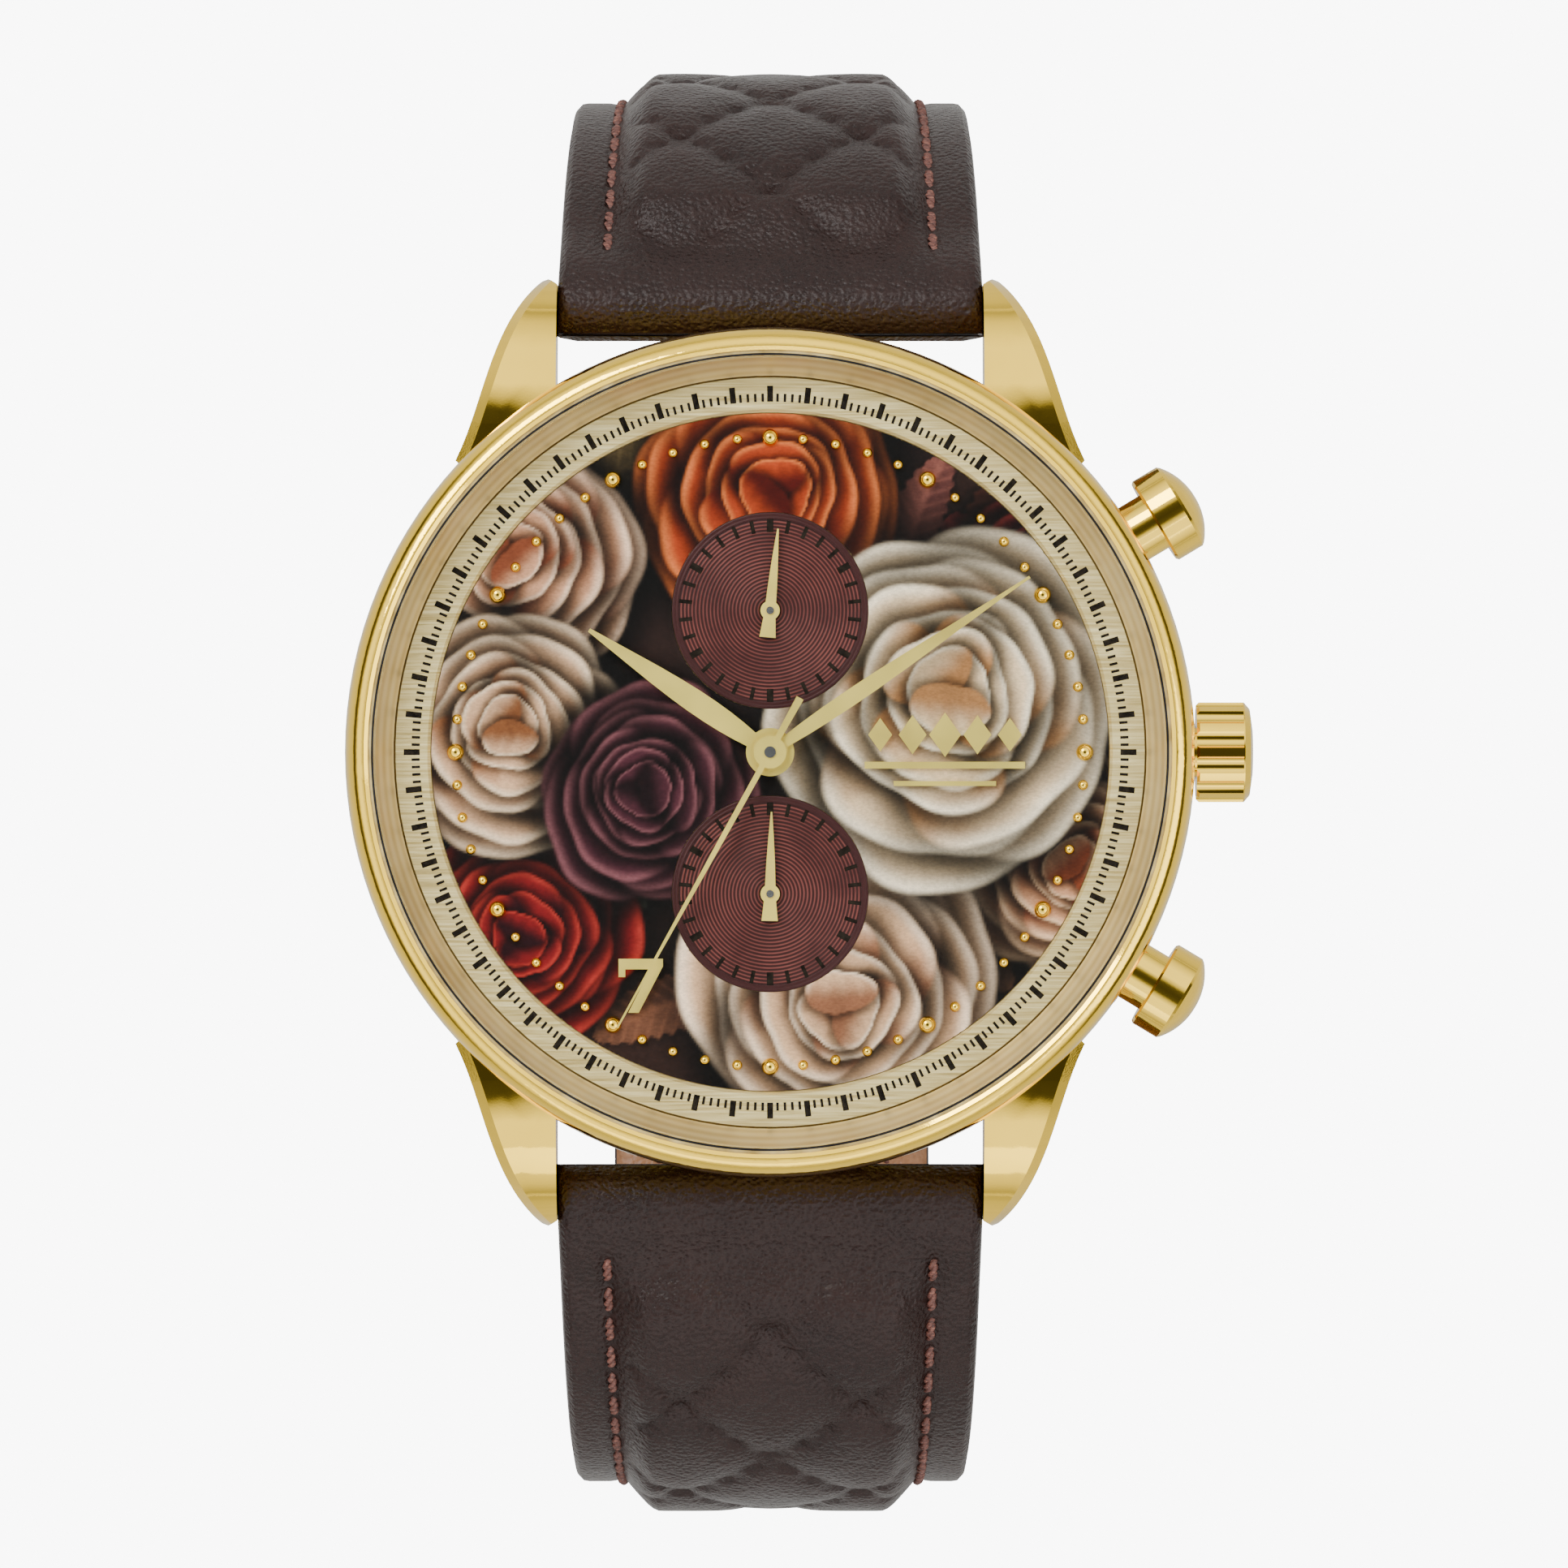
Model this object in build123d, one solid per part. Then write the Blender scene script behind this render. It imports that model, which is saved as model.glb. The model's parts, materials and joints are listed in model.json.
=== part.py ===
from build123d import *
import math
import os

# Chronograph wristwatch: Z is the dial normal, Y points to 12 o'clock, X to the crown.
# The origin is the centre of the outer face of the case back.

# case
CASE_R = 22.0
BORE_R = 19.95
CASE_Z0 = 1.0
CASE_Z1 = 8.5
LEDGE_R = 19.5
LEDGE_Z = 6.6
NECK_R = 21.3
FRONT_BORE_R = 20.65
BEZEL_Z0 = 7.8
BEZEL_Z1 = 10.0
BEZEL_IN_R = 20.75
CRYSTAL_R = 20.45
CRYSTAL_Z0 = 8.9
CRYSTAL_EDGE_Z = 10.0
CRYSTAL_TOP_Z = 10.5
BACK_R = 20.9
# lugs and spring bars
LUG_GAP = 22.2
LUG_TIP_Y = 24.8
BAR_Y = 23.2
BAR_Z = 1.8
BAR_R = 0.75
BAR_TIP_R = 0.4
ROLL_R = 1.75
LUG_BEVEL = 0.5
# crown and pushers
AXIS_Z = 3.6
CROWN_R = 2.6
CROWN_X0 = 22.15
CROWN_X1 = 25.1
CROWN_FLUTES = 12
STEM_R = 0.6
PUSH_ANGLE = 31.0
PUSH_CAP_R = 2.375
PUSH_NECK_R = 1.575
PUSH_CAP_AT = 23.3
PUSH_CAP_L = 1.7
PUSH_NECK_L = 2.2
TUBE_WALL_R = 1.95
TUBE_END_R = 22.05
# dial
DIAL_Z0 = 6.2
DIAL_T = 0.4
DIAL_TOP = DIAL_Z0 + DIAL_T
PRINT_T = 0.05
PRINT_R = 17.55
SUB_Y = 7.34
SUB_R = 5.1
DOT_R = 16.3
# movement
MAIN_R = 17.0
MAIN_Z0 = 4.4
MAIN_T = 0.7
MAIN_TOP = MAIN_Z0 + MAIN_T
BRIDGE_Z0 = 2.1
BRIDGE_T = 0.6
BRIDGE_TOP = BRIDGE_Z0 + BRIDGE_T
PIVOT_R = 0.2
RUN = 0.05
IDLER = (-2.334, 3.492)
THIRD = (1.640, -3.736)
ROTOR = (-1.950, -10.125)
MINUTE_POST = (3.0, 0.0)
BATTERY = (-10.6, -2.6)
BATTERY_R = 4.75
PILLARS = [(-11.5, 8.5), (-9.5, -11.0), (9.0, -5.5), (6.0, 13.5)]
# strap
STRAP_W0 = 21.7
STRAP_W1 = 18.0
TAPER_S = 70.0
STRAP_T = 3.2
STRAP_T_END = 2.4
THIN_FROM = 34.0
THIN_TO = 60.0
KNUCKLE_GAP = 0.1
HOLE_R = 0.9
HOLE_PITCH = 6.5
HOLES = 7
HOLE_FIRST_S = 71.0
BUCKLE_BAR_R = 0.6
BUCKLE_END_R = 1.4

os.makedirs("parts", exist_ok=True)


def save(shape, name):
    export_step(shape, "parts/" + name + ".step")


def tube(r_out, r_in, z0, z1, x=0.0, y=0.0):
    ring = Cylinder(r_out, z1 - z0, align=(Align.CENTER, Align.CENTER, Align.MIN))
    if r_in > 0:
        ring -= Cylinder(r_in, z1 - z0, align=(Align.CENTER, Align.CENTER, Align.MIN))
    return Pos(x, y, z0) * ring


def block(x0, x1, y0, y1, z0, z1):
    centre = Pos((x0 + x1) / 2, (y0 + y1) / 2, (z0 + z1) / 2)
    return centre * Box(x1 - x0, y1 - y0, z1 - z0)


def turned(points):
    """Solid of revolution about Z from (radius, height) corners."""
    face = make_face(Polyline(*[(r, 0, z) for r, z in points], close=True))
    return revolve(face, Axis.Z, 360)


def prism(points, z0, z1):
    face = make_face(Polyline(*[(x, y, z0) for x, y in points], close=True))
    return extrude(face, amount=z1 - z0, dir=(0, 0, 1))


def radial(degrees, radius):
    """Frame whose Z axis runs outwards along a case radius at crown height."""
    a = math.radians(degrees)
    out = (math.cos(a), math.sin(a), 0)
    return Plane(origin=(radius * out[0], radius * out[1], AXIS_Z), x_dir=(0, 0, 1), z_dir=out)


# ---------------------------------------------------------------- case

def lug():
    plan = Spline((11.7, LUG_TIP_Y), (13.6, 22.3), (14.9, 18.9), (16.3, 15.1))
    inner_x = LUG_GAP / 2
    rest = Polyline((16.3, 15.1), (13.0, 12.0), (inner_x, 14.0), (inner_x, 24.4), (11.7, LUG_TIP_Y))
    block_up = extrude(make_face(Curve() + [plan, rest]), amount=9.0)
    top = Spline((0, 17.0, 7.5), (0, 21.0, 6.5), (0, 23.6, 4.4), (0, LUG_TIP_Y + 0.1, 1.5))
    under = Polyline((0, LUG_TIP_Y + 0.1, 1.5), (0, 24.6, 0.5), (0, 23.6, 0.25), (0, 19.5, 0.8),
                     (0, 16.0, 1.0), (0, 11.0, 1.0), (0, 11.0, 7.5), (0, 17.0, 7.5))
    side = extrude(make_face(Curve() + [top, under]), amount=20.0, dir=(1, 0, 0))
    body = block_up & side
    upper = [e for e in body.edges() if e.geom_type == GeomType.BSPLINE and (e @ 0.5).X > 13.2 and (e @ 0.5).Z > 5.0]
    return chamfer(upper, LUG_BEVEL)


def case_middle():
    flank = Spline((21.5, 0, CASE_Z0), (CASE_R, 0, 4.2), (21.95, 0, BEZEL_Z0))
    edge = Polyline((21.95, 0, BEZEL_Z0), (NECK_R, 0, BEZEL_Z0), (NECK_R, 0, CASE_Z1),
                    (FRONT_BORE_R, 0, CASE_Z1), (FRONT_BORE_R, 0, 6.9), (LEDGE_R, 0, 6.9),
                    (LEDGE_R, 0, LEDGE_Z), (BORE_R, 0, LEDGE_Z), (BORE_R, 0, CASE_Z0),
                    (21.5, 0, CASE_Z0))
    body = revolve(make_face(Curve() + [flank, edge]), Axis.Z, 360)
    one = lug()
    two = one.mirror(Plane.YZ)
    lugs = one + two + one.mirror(Plane.XZ) + two.mirror(Plane.XZ)
    lugs -= tube(21.4, 0, 0.0, 9.0)
    body += lugs
    for y in (BAR_Y, -BAR_Y):
        roll = Pos(0, y, BAR_Z) * Rot(0, 90, 0) * Cylinder(ROLL_R + 0.3, LUG_GAP)
        bar = Pos(0, y, BAR_Z) * Rot(0, 90, 0) * Cylinder(BAR_TIP_R + 0.02, LUG_GAP + 2.0)
        body -= roll + bar
    body -= radial(0, 18.0) * Cylinder(1.3, 6.0, align=(Align.CENTER, Align.CENTER, Align.MIN))
    for angle in (PUSH_ANGLE, -PUSH_ANGLE):
        body -= radial(angle, 18.0) * Cylinder(TUBE_WALL_R, 6.0, align=(Align.CENTER, Align.CENTER, Align.MIN))
    gasket_groove = tube(20.7, 20.2, CASE_Z0, CASE_Z0 + 0.4)
    return body - gasket_groove


def bezel():
    crown_curve = Spline((21.95, 0, 8.3), (21.75, 0, 9.35), (21.3, 0, 9.9), (20.95, 0, BEZEL_Z1))
    rest = Polyline((20.95, 0, BEZEL_Z1), (BEZEL_IN_R, 0, 9.9), (BEZEL_IN_R, 0, CASE_Z1),
                    (NECK_R, 0, CASE_Z1), (NECK_R, 0, BEZEL_Z0), (21.9, 0, BEZEL_Z0), (21.95, 0, 8.3))
    return revolve(make_face(Curve() + [crown_curve, rest]), Axis.Z, 360)


def crystal():
    dome = ThreePointArc((0, 0, CRYSTAL_TOP_Z), (10.0, 0, 10.405), (20.2, 0, CRYSTAL_EDGE_Z + 0.1))
    rest = Polyline((20.2, 0, CRYSTAL_EDGE_Z + 0.1), (CRYSTAL_R, 0, CRYSTAL_EDGE_Z - 0.15),
                    (CRYSTAL_R, 0, CRYSTAL_Z0), (0, 0, CRYSTAL_Z0), (0, 0, CRYSTAL_TOP_Z))
    return revolve(make_face(Curve() + [dome, rest]), Axis.Z, 360)


def case_back():
    disc = turned([(0, 0), (20.4, 0), (BACK_R, 0.45), (BACK_R, CASE_Z0), (19.9, CASE_Z0),
                   (19.9, 2.1), (19.2, 2.1), (19.2, CASE_Z0), (0, CASE_Z0)])
    groove = tube(17.5, 17.0, 0.0, 0.12)
    pry = block(-2.0, 2.0, -BACK_R - 1, -BACK_R + 0.7, 0.6, CASE_Z0)
    return disc - groove - pry


def case_tubes():
    """Crown tube and the two stepped pusher tubes set in the case wall."""
    up = (Align.CENTER, Align.CENTER, Align.MIN)
    crown_tube = radial(0, 19.98) * (Cylinder(1.3, 3.3, align=up) - Cylinder(STEM_R + RUN, 3.3, align=up))
    solids = [crown_tube]
    for angle in (PUSH_ANGLE, -PUSH_ANGLE):
        length = TUBE_END_R - 20.0
        wide = Cylinder(TUBE_WALL_R, length, align=up) - Cylinder(PUSH_NECK_R + RUN, length, align=up)
        narrow = Pos(0, 0, -2.4) * Cylinder(1.2, 2.4, align=up)
        cavity = Pos(0, 0, -2.2) * Cylinder(0.95, 2.6, align=up)
        hole = Pos(0, 0, -2.4) * Cylinder(0.5, 1.0, align=up)
        floor = Cylinder(TUBE_WALL_R, 0.25, align=up)
        solids.append(radial(angle, 20.0) * (wide + floor + narrow - cavity - hole))
    return Compound(children=solids)


def rehaut_ring():
    return turned([(LEDGE_R, 6.9), (20.6, 6.9), (20.6, CASE_Z1), (20.4, CASE_Z1), (LEDGE_R, 7.1)])


# ---------------------------------------------------------------- dial

def dial_plate():
    plate = tube(19.85, 0.9, DIAL_Z0, DIAL_TOP)
    for y in (SUB_Y, -SUB_Y):
        plate -= tube(SUB_R, 0, DIAL_TOP - 0.15, DIAL_TOP + 1, 0, y)
        plate -= tube(0.4, 0, DIAL_Z0 - 1, DIAL_TOP, 0, y)
    return plate


def dial_print():
    sheet = tube(PRINT_R, 0.9, DIAL_TOP, DIAL_TOP + PRINT_T)
    for y in (SUB_Y, -SUB_Y):
        sheet -= tube(SUB_R, 0, DIAL_TOP - 1, DIAL_TOP + 1, 0, y)
    return sheet


def minute_track_ring():
    return turned([(17.6, DIAL_TOP), (19.4, DIAL_TOP), (19.4, DIAL_TOP + 0.3), (17.75, DIAL_TOP + 0.3),
                   (17.6, DIAL_TOP + 0.15)])


def subdial_discs():
    discs = []
    for y in (SUB_Y, -SUB_Y):
        disc = tube(SUB_R - 0.02, 0.4, DIAL_TOP - 0.15, DIAL_TOP + 0.05, 0, y)
        disc -= tube(4.75, 0.4, DIAL_TOP, DIAL_TOP + 1, 0, y)
        discs.append(disc)
    return Compound(children=discs)


def index_dots():
    dots = []
    for i in range(60):
        radius = 0.45 if i % 5 == 0 else 0.27
        a = math.radians(6 * i)
        dome = Sphere(radius) & Box(2, 2, radius, align=(Align.CENTER, Align.CENTER, Align.MIN))
        dots.append(Pos(DOT_R * math.sin(a), DOT_R * math.cos(a), DIAL_TOP + PRINT_T) * dome)
    return Compound(children=dots)


def numeral_seven():
    outline = [(-1.15, 1.4), (1.15, 1.4), (1.15, 1.0), (-0.1, -1.4), (-0.65, -1.4), (0.5, 0.85),
               (-0.8, 0.85), (-0.8, 0.45), (-1.15, 0.45)]
    return Pos(-6.7, -12.1, 0) * prism(outline, DIAL_TOP + PRINT_T, DIAL_TOP + PRINT_T + 0.35)


def dial_emblem():
    """Plain applied ornament: a row of lozenges over two bars."""
    z0 = DIAL_TOP + PRINT_T
    pieces = []
    for i in range(5):
        x = 5.7 + 1.68 * i
        half = 0.62 + 0.1 * (2 - abs(i - 2))
        pieces.append(prism([(x - half, 0.9), (x, 0.9 + 1.4 * half), (x + half, 0.9), (x, 0.9 - 1.4 * half)],
                            z0, z0 + 0.3))
    pieces.append(block(4.9, 13.2, -0.85, -0.5, z0, z0 + 0.3))
    pieces.append(block(6.4, 11.7, -1.75, -1.5, z0, z0 + 0.3))
    return Compound(children=pieces)


# ---------------------------------------------------------------- hands

def hand(length, hub_r, root_w, max_w, max_at, tip_w, hole_r, z0, thick, clock, tail=0.0, tail_w=0.0):
    """Flat hand pointing to a clock angle, with an optional counterweight tail."""
    mid_y = length * max_at
    side = Spline((root_w / 2, hub_r * 0.6), (max_w / 2, mid_y), (max_w * 0.3, mid_y + (length - mid_y) * 0.55),
                  (tip_w / 2, length))
    other = Spline((-root_w / 2, hub_r * 0.6), (-max_w / 2, mid_y),
                   (-max_w * 0.3, mid_y + (length - mid_y) * 0.55), (-tip_w / 2, length))
    ends = [Line((root_w / 2, hub_r * 0.6), (-root_w / 2, hub_r * 0.6)),
            Line((tip_w / 2, length), (-tip_w / 2, length))]
    blade = extrude(make_face(Curve() + [side, other] + ends), amount=thick)
    shape = blade + Cylinder(hub_r, thick, align=(Align.CENTER, Align.CENTER, Align.MIN))
    if tail > 0:
        half = root_w / 2
        shape += prism([(half, 0), (tail_w / 2, -tail), (-tail_w / 2, -tail), (-half, 0)], 0, thick)
    shape -= Cylinder(hole_r, thick * 3)
    return Pos(0, 0, z0) * Rot(0, 0, -clock) * shape


# ---------------------------------------------------------------- gear train

def gear(teeth, module, z0, z1, bore, phase=0.0):
    """Spur wheel with slim straight-sided teeth; phase turns one tooth to that angle."""
    pitch_r = teeth * module / 2
    step = 360.0 / teeth
    tip = pitch_r + 0.8 * module
    root = pitch_r - 1.05 * module
    points = []
    for i in range(teeth):
        base = phase + i * step
        for offset, radius in ((-0.24, root), (-0.09, tip), (0.09, tip), (0.24, root)):
            a = math.radians(base + offset * step)
            points.append((radius * math.cos(a), radius * math.sin(a)))
    wheel = prism(points, z0, z1)
    return wheel - tube(bore, 0, z0 - 1, z1 + 1) if bore > 0 else wheel


def at(point, shape):
    return Pos(point[0], point[1], 0) * shape


def bearing_angle(a, b):
    return math.degrees(math.atan2(b[1] - a[1], b[0] - a[0]))


CHRONO_PINION = (8, 0.15)
IDLER_WHEEL = (48, 0.15)
IDLER_PINION = (10, 0.15)
COUNTER_WHEEL = (50, 0.15)
FOURTH_PINION = (8, 0.11)
FOURTH_WHEEL = (60, 0.1)
THIRD_WHEEL = (64, 0.11)
THIRD_PINION = (8, 0.12)
CENTRE_WHEEL = (60, 0.12)
ROTOR_PINION = (8, 0.1)
CANNON = (12, 0.125)
MINUTE_WHEEL = (36, 0.125)
MINUTE_PINION = (10, 0.12)
HOUR_WHEEL = (40, 0.12)
CENTRE = (0.0, 0.0)
COUNTER = (0.0, SUB_Y)
SECONDS = (0.0, -SUB_Y)


def mesh_phase(own, other, teeth, tooth_to_other):
    """Tooth angle that puts a tooth, or a gap, on the line towards the other wheel."""
    angle = bearing_angle(own, other)
    return angle if tooth_to_other else angle + 180.0 / teeth


def wheel(own, other, spec, z0, z1, tooth, bore=0.0):
    return gear(spec[0], spec[1], z0, z1, bore, mesh_phase(own, other, spec[0], tooth))


def chrono_wheel():
    body = tube(PIVOT_R, 0, 2.2, 8.15)
    body += wheel(CENTRE, IDLER, CHRONO_PINION, 3.0, 3.3, True)
    return body + tube(1.5, 0, 3.45, 3.6)


def counter_idler():
    body = tube(PIVOT_R, 0, 2.2, 4.9)
    body += wheel(IDLER, CENTRE, IDLER_WHEEL, 3.05, 3.25, False)
    return at(IDLER, body + wheel(IDLER, COUNTER, IDLER_PINION, 3.45, 3.9, True))


def counter_wheel():
    body = tube(PIVOT_R, 0, 2.2, 7.1)
    return at(COUNTER, body + wheel(COUNTER, IDLER, COUNTER_WHEEL, 3.6, 3.8, False))


def fourth_wheel():
    body = tube(PIVOT_R, 0, 2.2, 7.1)
    body += wheel(SECONDS, THIRD, FOURTH_PINION, 2.75, 3.0, True)
    return at(SECONDS, body + wheel(SECONDS, ROTOR, FOURTH_WHEEL, 3.3, 3.45, False))


def third_wheel():
    body = tube(PIVOT_R, 0, 2.2, 4.9)
    body += wheel(THIRD, SECONDS, THIRD_WHEEL, 2.8, 2.95, False)
    return at(THIRD, body + wheel(THIRD, CENTRE, THIRD_PINION, 4.0, 4.3, True))


def centre_wheel():
    body = wheel(CENTRE, THIRD, CENTRE_WHEEL, 4.1, 4.25, False)
    return body + tube(0.6, 0, 3.9, 4.35) - tube(PIVOT_R + RUN, 0, 3.0, 5.0)


def rotor():
    body = tube(PIVOT_R, 0, 2.2, 4.9) + tube(0.75, 0, 2.8, 3.2)
    return at(ROTOR, body + wheel(ROTOR, SECONDS, ROTOR_PINION, 3.25, 3.6, True))


def cannon_pinion():
    body = tube(0.45, 0, 5.2, 7.75) + wheel(CENTRE, MINUTE_POST, CANNON, 5.2, 5.5, True)
    return body - tube(PIVOT_R + RUN, 0, 5.0, 8.0)


def minute_wheel():
    body = wheel(MINUTE_POST, CENTRE, MINUTE_WHEEL, 5.2, 5.5, False)
    body += wheel(MINUTE_POST, CENTRE, MINUTE_PINION, 5.5, 5.95, True)
    return at(MINUTE_POST, body - tube(0.3, 0, 5.0, 6.2))


def hour_wheel():
    body = tube(0.8, 0, 5.6, 7.4) + wheel(CENTRE, MINUTE_POST, HOUR_WHEEL, 5.6, 5.9, False)
    return body - tube(0.5, 0, 5.0, 8.0)


# ---------------------------------------------------------------- movement

def lever_pivots():
    """Pivots of the start lever, the reset lever and the setting lever."""
    a = math.radians(PUSH_ANGLE)
    x = 15.2 * math.cos(a) - 3.0 * math.sin(a)
    y = 15.2 * math.sin(a) + 3.0 * math.cos(a)
    return [(x, y), (x, -y), (15.5, -2.82)]


def main_plate():
    plate = tube(MAIN_R, 0.3, MAIN_Z0, MAIN_TOP)
    for x, y in (COUNTER, SECONDS, IDLER, THIRD, ROTOR):
        plate -= tube(PIVOT_R + RUN, 0, MAIN_Z0 - 1, MAIN_TOP + 1, x, y)
    plate += tube(0.25, 0, MAIN_TOP, 6.1, *MINUTE_POST)
    for x, y in PILLARS:
        plate += tube(0.9, 0, BRIDGE_TOP, MAIN_Z0, x, y)
        plate -= tube(0.4, 0, BRIDGE_TOP - 1, 3.9, x, y)
    for x, y in lever_pivots():
        plate += tube(0.3, 0, 2.95, MAIN_Z0, x, y)
    return plate


def movement_holder():
    ring = tube(19.9, MAIN_R + 0.05, 2.15, DIAL_Z0)
    up = (Align.CENTER, Align.CENTER, Align.MIN)
    ring -= radial(0, 12.0) * Cylinder(0.8, 9.0, align=up)
    for angle in (PUSH_ANGLE, -PUSH_ANGLE):
        ring -= radial(angle, 12.0) * Cylinder(1.22, 9.0, align=up)
    return ring


def train_bridge():
    plate = tube(16.4, 0, BRIDGE_Z0, BRIDGE_TOP)
    plate -= tube(BATTERY_R + 0.1, 0, BRIDGE_Z0 - 1, BRIDGE_TOP + 1, *BATTERY)
    for x, y in (CENTRE, COUNTER, SECONDS, IDLER, THIRD, ROTOR):
        plate -= tube(0.6, 0, BRIDGE_Z0 - 1, BRIDGE_TOP + 1, x, y)
    for x, y in PILLARS:
        plate -= tube(0.4, 0, BRIDGE_Z0 - 1, BRIDGE_TOP + 1, x, y)
    return plate


def jewels():
    return Compound(children=[tube(0.6, PIVOT_R + 0.03, BRIDGE_Z0, BRIDGE_TOP - 0.1, x, y)
                              for x, y in (CENTRE, COUNTER, SECONDS, IDLER, THIRD, ROTOR)])


def bridge_screws():
    screws = []
    for x, y in PILLARS:
        screw = tube(0.8, 0, 1.6, BRIDGE_Z0, x, y) + tube(0.4, 0, BRIDGE_Z0, 3.8, x, y)
        screws.append(screw - block(x - 1, x + 1, y - 0.1, y + 0.1, 1.6, 1.8))
    return Compound(children=screws)


def circuit_board():
    """Board with a driver chip and a can-shaped quartz resonator on its lower face."""
    board = tube(15.8, 0, 1.75, BRIDGE_Z0)
    board -= block(-17, -4.5, -17, 17, 1.0, 3.0)
    for x, y in PILLARS:
        board -= tube(1.1, 0, 1.0, 3.0, x, y)
    board += block(2.0, 5.5, 3.0, 6.5, 1.25, 1.75)
    return board + Pos(7.5, -9.0, 1.6) * Rot(0, 90, 0) * Cylinder(0.4, 3.2)


def stator():
    plate = block(-8.3, 3.0, -11.6, -8.8, 2.75, 3.1)
    plate += block(-8.3, -6.9, -13.4, -11.6, 2.75, 3.1) + block(1.6, 3.0, -13.4, -11.6, 2.75, 3.1)
    plate -= tube(0.95, 0, 2.0, 4.0, *ROTOR)
    return plate - tube(1.1, 0, 2.0, 4.0, -9.5, -11.0)


def coil():
    core = block(-8.3, 3.0, -13.0, -12.2, 3.1, 3.5)
    winding = Pos(-2.65, -12.6, 3.45) * Rot(0, 90, 0) * Cylinder(0.62, 8.0)
    return core + winding


def battery():
    return turned([(0, 1.5), (4.3, 1.5), (4.3, 1.8), (BATTERY_R, 1.8), (BATTERY_R, 3.5), (4.6, 3.6),
                   (0, 3.6)]).moved(Pos(BATTERY[0], BATTERY[1], 0))


def push_lever(sign):
    """Switch lever: boss on its pin, an arm in front of the pusher stem and a contact leaf."""
    px, py = lever_pivots()[0]
    a = math.radians(PUSH_ANGLE)
    u = Vector(math.cos(a), math.sin(a))
    v = Vector(-math.sin(a), math.cos(a))
    p = Vector(px, py)
    near = p + u * 0.35
    far = p - v * 3.4 + u * 0.35
    arm = prism([(q.X, q.Y) for q in (near, far, far - u * 0.6, near - u * 0.6)], 3.3, 3.9)
    leaf_a = p - u * 0.2 + v * 0.2
    leaf = prism([(q.X, q.Y) for q in (leaf_a, leaf_a - u * 2.6, leaf_a - u * 2.6 - v * 0.35, leaf_a - v * 0.5)],
                 3.3, 3.6)
    body = tube(0.6, 0, 3.3, 3.9, px, py) + arm + leaf
    body -= tube(0.35, 0, 3.0, 4.2, px, py)
    return body if sign > 0 else body.mirror(Plane.XZ)


def setting_lever():
    px, py = lever_pivots()[2]
    a = math.atan2(0.6, 2.4)
    tip = Vector(px - 2.474 * math.sin(a), py + 2.474 * math.cos(a))
    p = Vector(px, py)
    along = (tip - p).normalized()
    across = Vector(-along.Y, along.X)
    tip = tip - along * 0.1
    arm = prism([(q.X, q.Y) for q in (p + across * 0.4, tip + across * 0.14, tip - across * 0.14,
                                      p - across * 0.4)], 3.35, 3.85)
    return arm + tube(0.6, 0, 3.3, 3.9, px, py) - tube(0.35, 0, 3.0, 4.2, px, py)


# ---------------------------------------------------------------- crown and pushers

def along_x(radius, x0, x1):
    cyl = Cylinder(radius, x1 - x0, align=(Align.CENTER, Align.CENTER, Align.MIN))
    return Pos(x0, 0, AXIS_Z) * Rot(0, 90, 0) * cyl


def crown():
    length = CROWN_X1 - CROWN_X0
    profile = Polyline((0, 0, 0), (CROWN_R - 0.15, 0, 0), (CROWN_R, 0, 0.15), (CROWN_R, 0, length - 0.45),
                       (CROWN_R - 0.35, 0, length - 0.15), (1.2, 0, length), (0, 0, length), close=True)
    body = revolve(make_face(profile), Axis.Z, 360)
    for i in range(CROWN_FLUTES):
        flute = Cylinder(0.55, length * 0.86, align=(Align.CENTER, Align.CENTER, Align.MIN))
        body -= Rot(0, 0, 360 / CROWN_FLUTES * (i + 0.5)) * Pos(CROWN_R + 0.28, 0, -0.1) * flute
    body = radial(0, CROWN_X0) * body
    return body - along_x(1.4, CROWN_X0 - 0.1, 23.95) - along_x(STEM_R, 23.0, 24.4)


def crown_stem():
    stem = along_x(STEM_R, 13.8, 24.4) - (along_x(1.0, 14.55, 15.25) - along_x(0.35, 14.5, 15.3))
    return stem + block(11.4, 13.8, -0.35, 0.35, AXIS_Z - 0.35, AXIS_Z + 0.35)


def clutch_wheel():
    body = along_x(0.75, 12.2, 13.4) - block(12.0, 13.6, -0.39, 0.39, AXIS_Z - 0.39, AXIS_Z + 0.39)
    for i in range(6):
        body -= Pos(12.2, 0, AXIS_Z) * Rot(60 * i, 0, 0) * block(-0.2, 0.2, -0.1, 0.1, 0.5, 0.9)
    return body


def pusher(angle):
    up = (Align.CENTER, Align.CENTER, Align.MIN)
    rim = PUSH_CAP_R - 0.12
    crest = PUSH_CAP_L + 0.8
    dome = ThreePointArc((0, 0, crest), (1.35, 0, crest - 0.25), (rim, 0, PUSH_CAP_L))
    rest = Polyline((rim, 0, PUSH_CAP_L), (PUSH_CAP_R, 0, PUSH_CAP_L - 0.15), (PUSH_CAP_R, 0, 0.12),
                    (rim, 0, 0), (0, 0, 0), (0, 0, crest))
    cap = revolve(make_face(Curve() + [dome, rest]), Axis.Z, 360)
    neck = Pos(0, 0, -PUSH_NECK_L) * Cylinder(PUSH_NECK_R, PUSH_NECK_L, align=up)
    stem = Pos(0, 0, PUSH_CAP_AT * -1 + 15.7) * Cylinder(0.45, PUSH_CAP_AT - 15.7, align=up)
    return radial(angle, PUSH_CAP_AT) * (cap + neck + stem)


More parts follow.
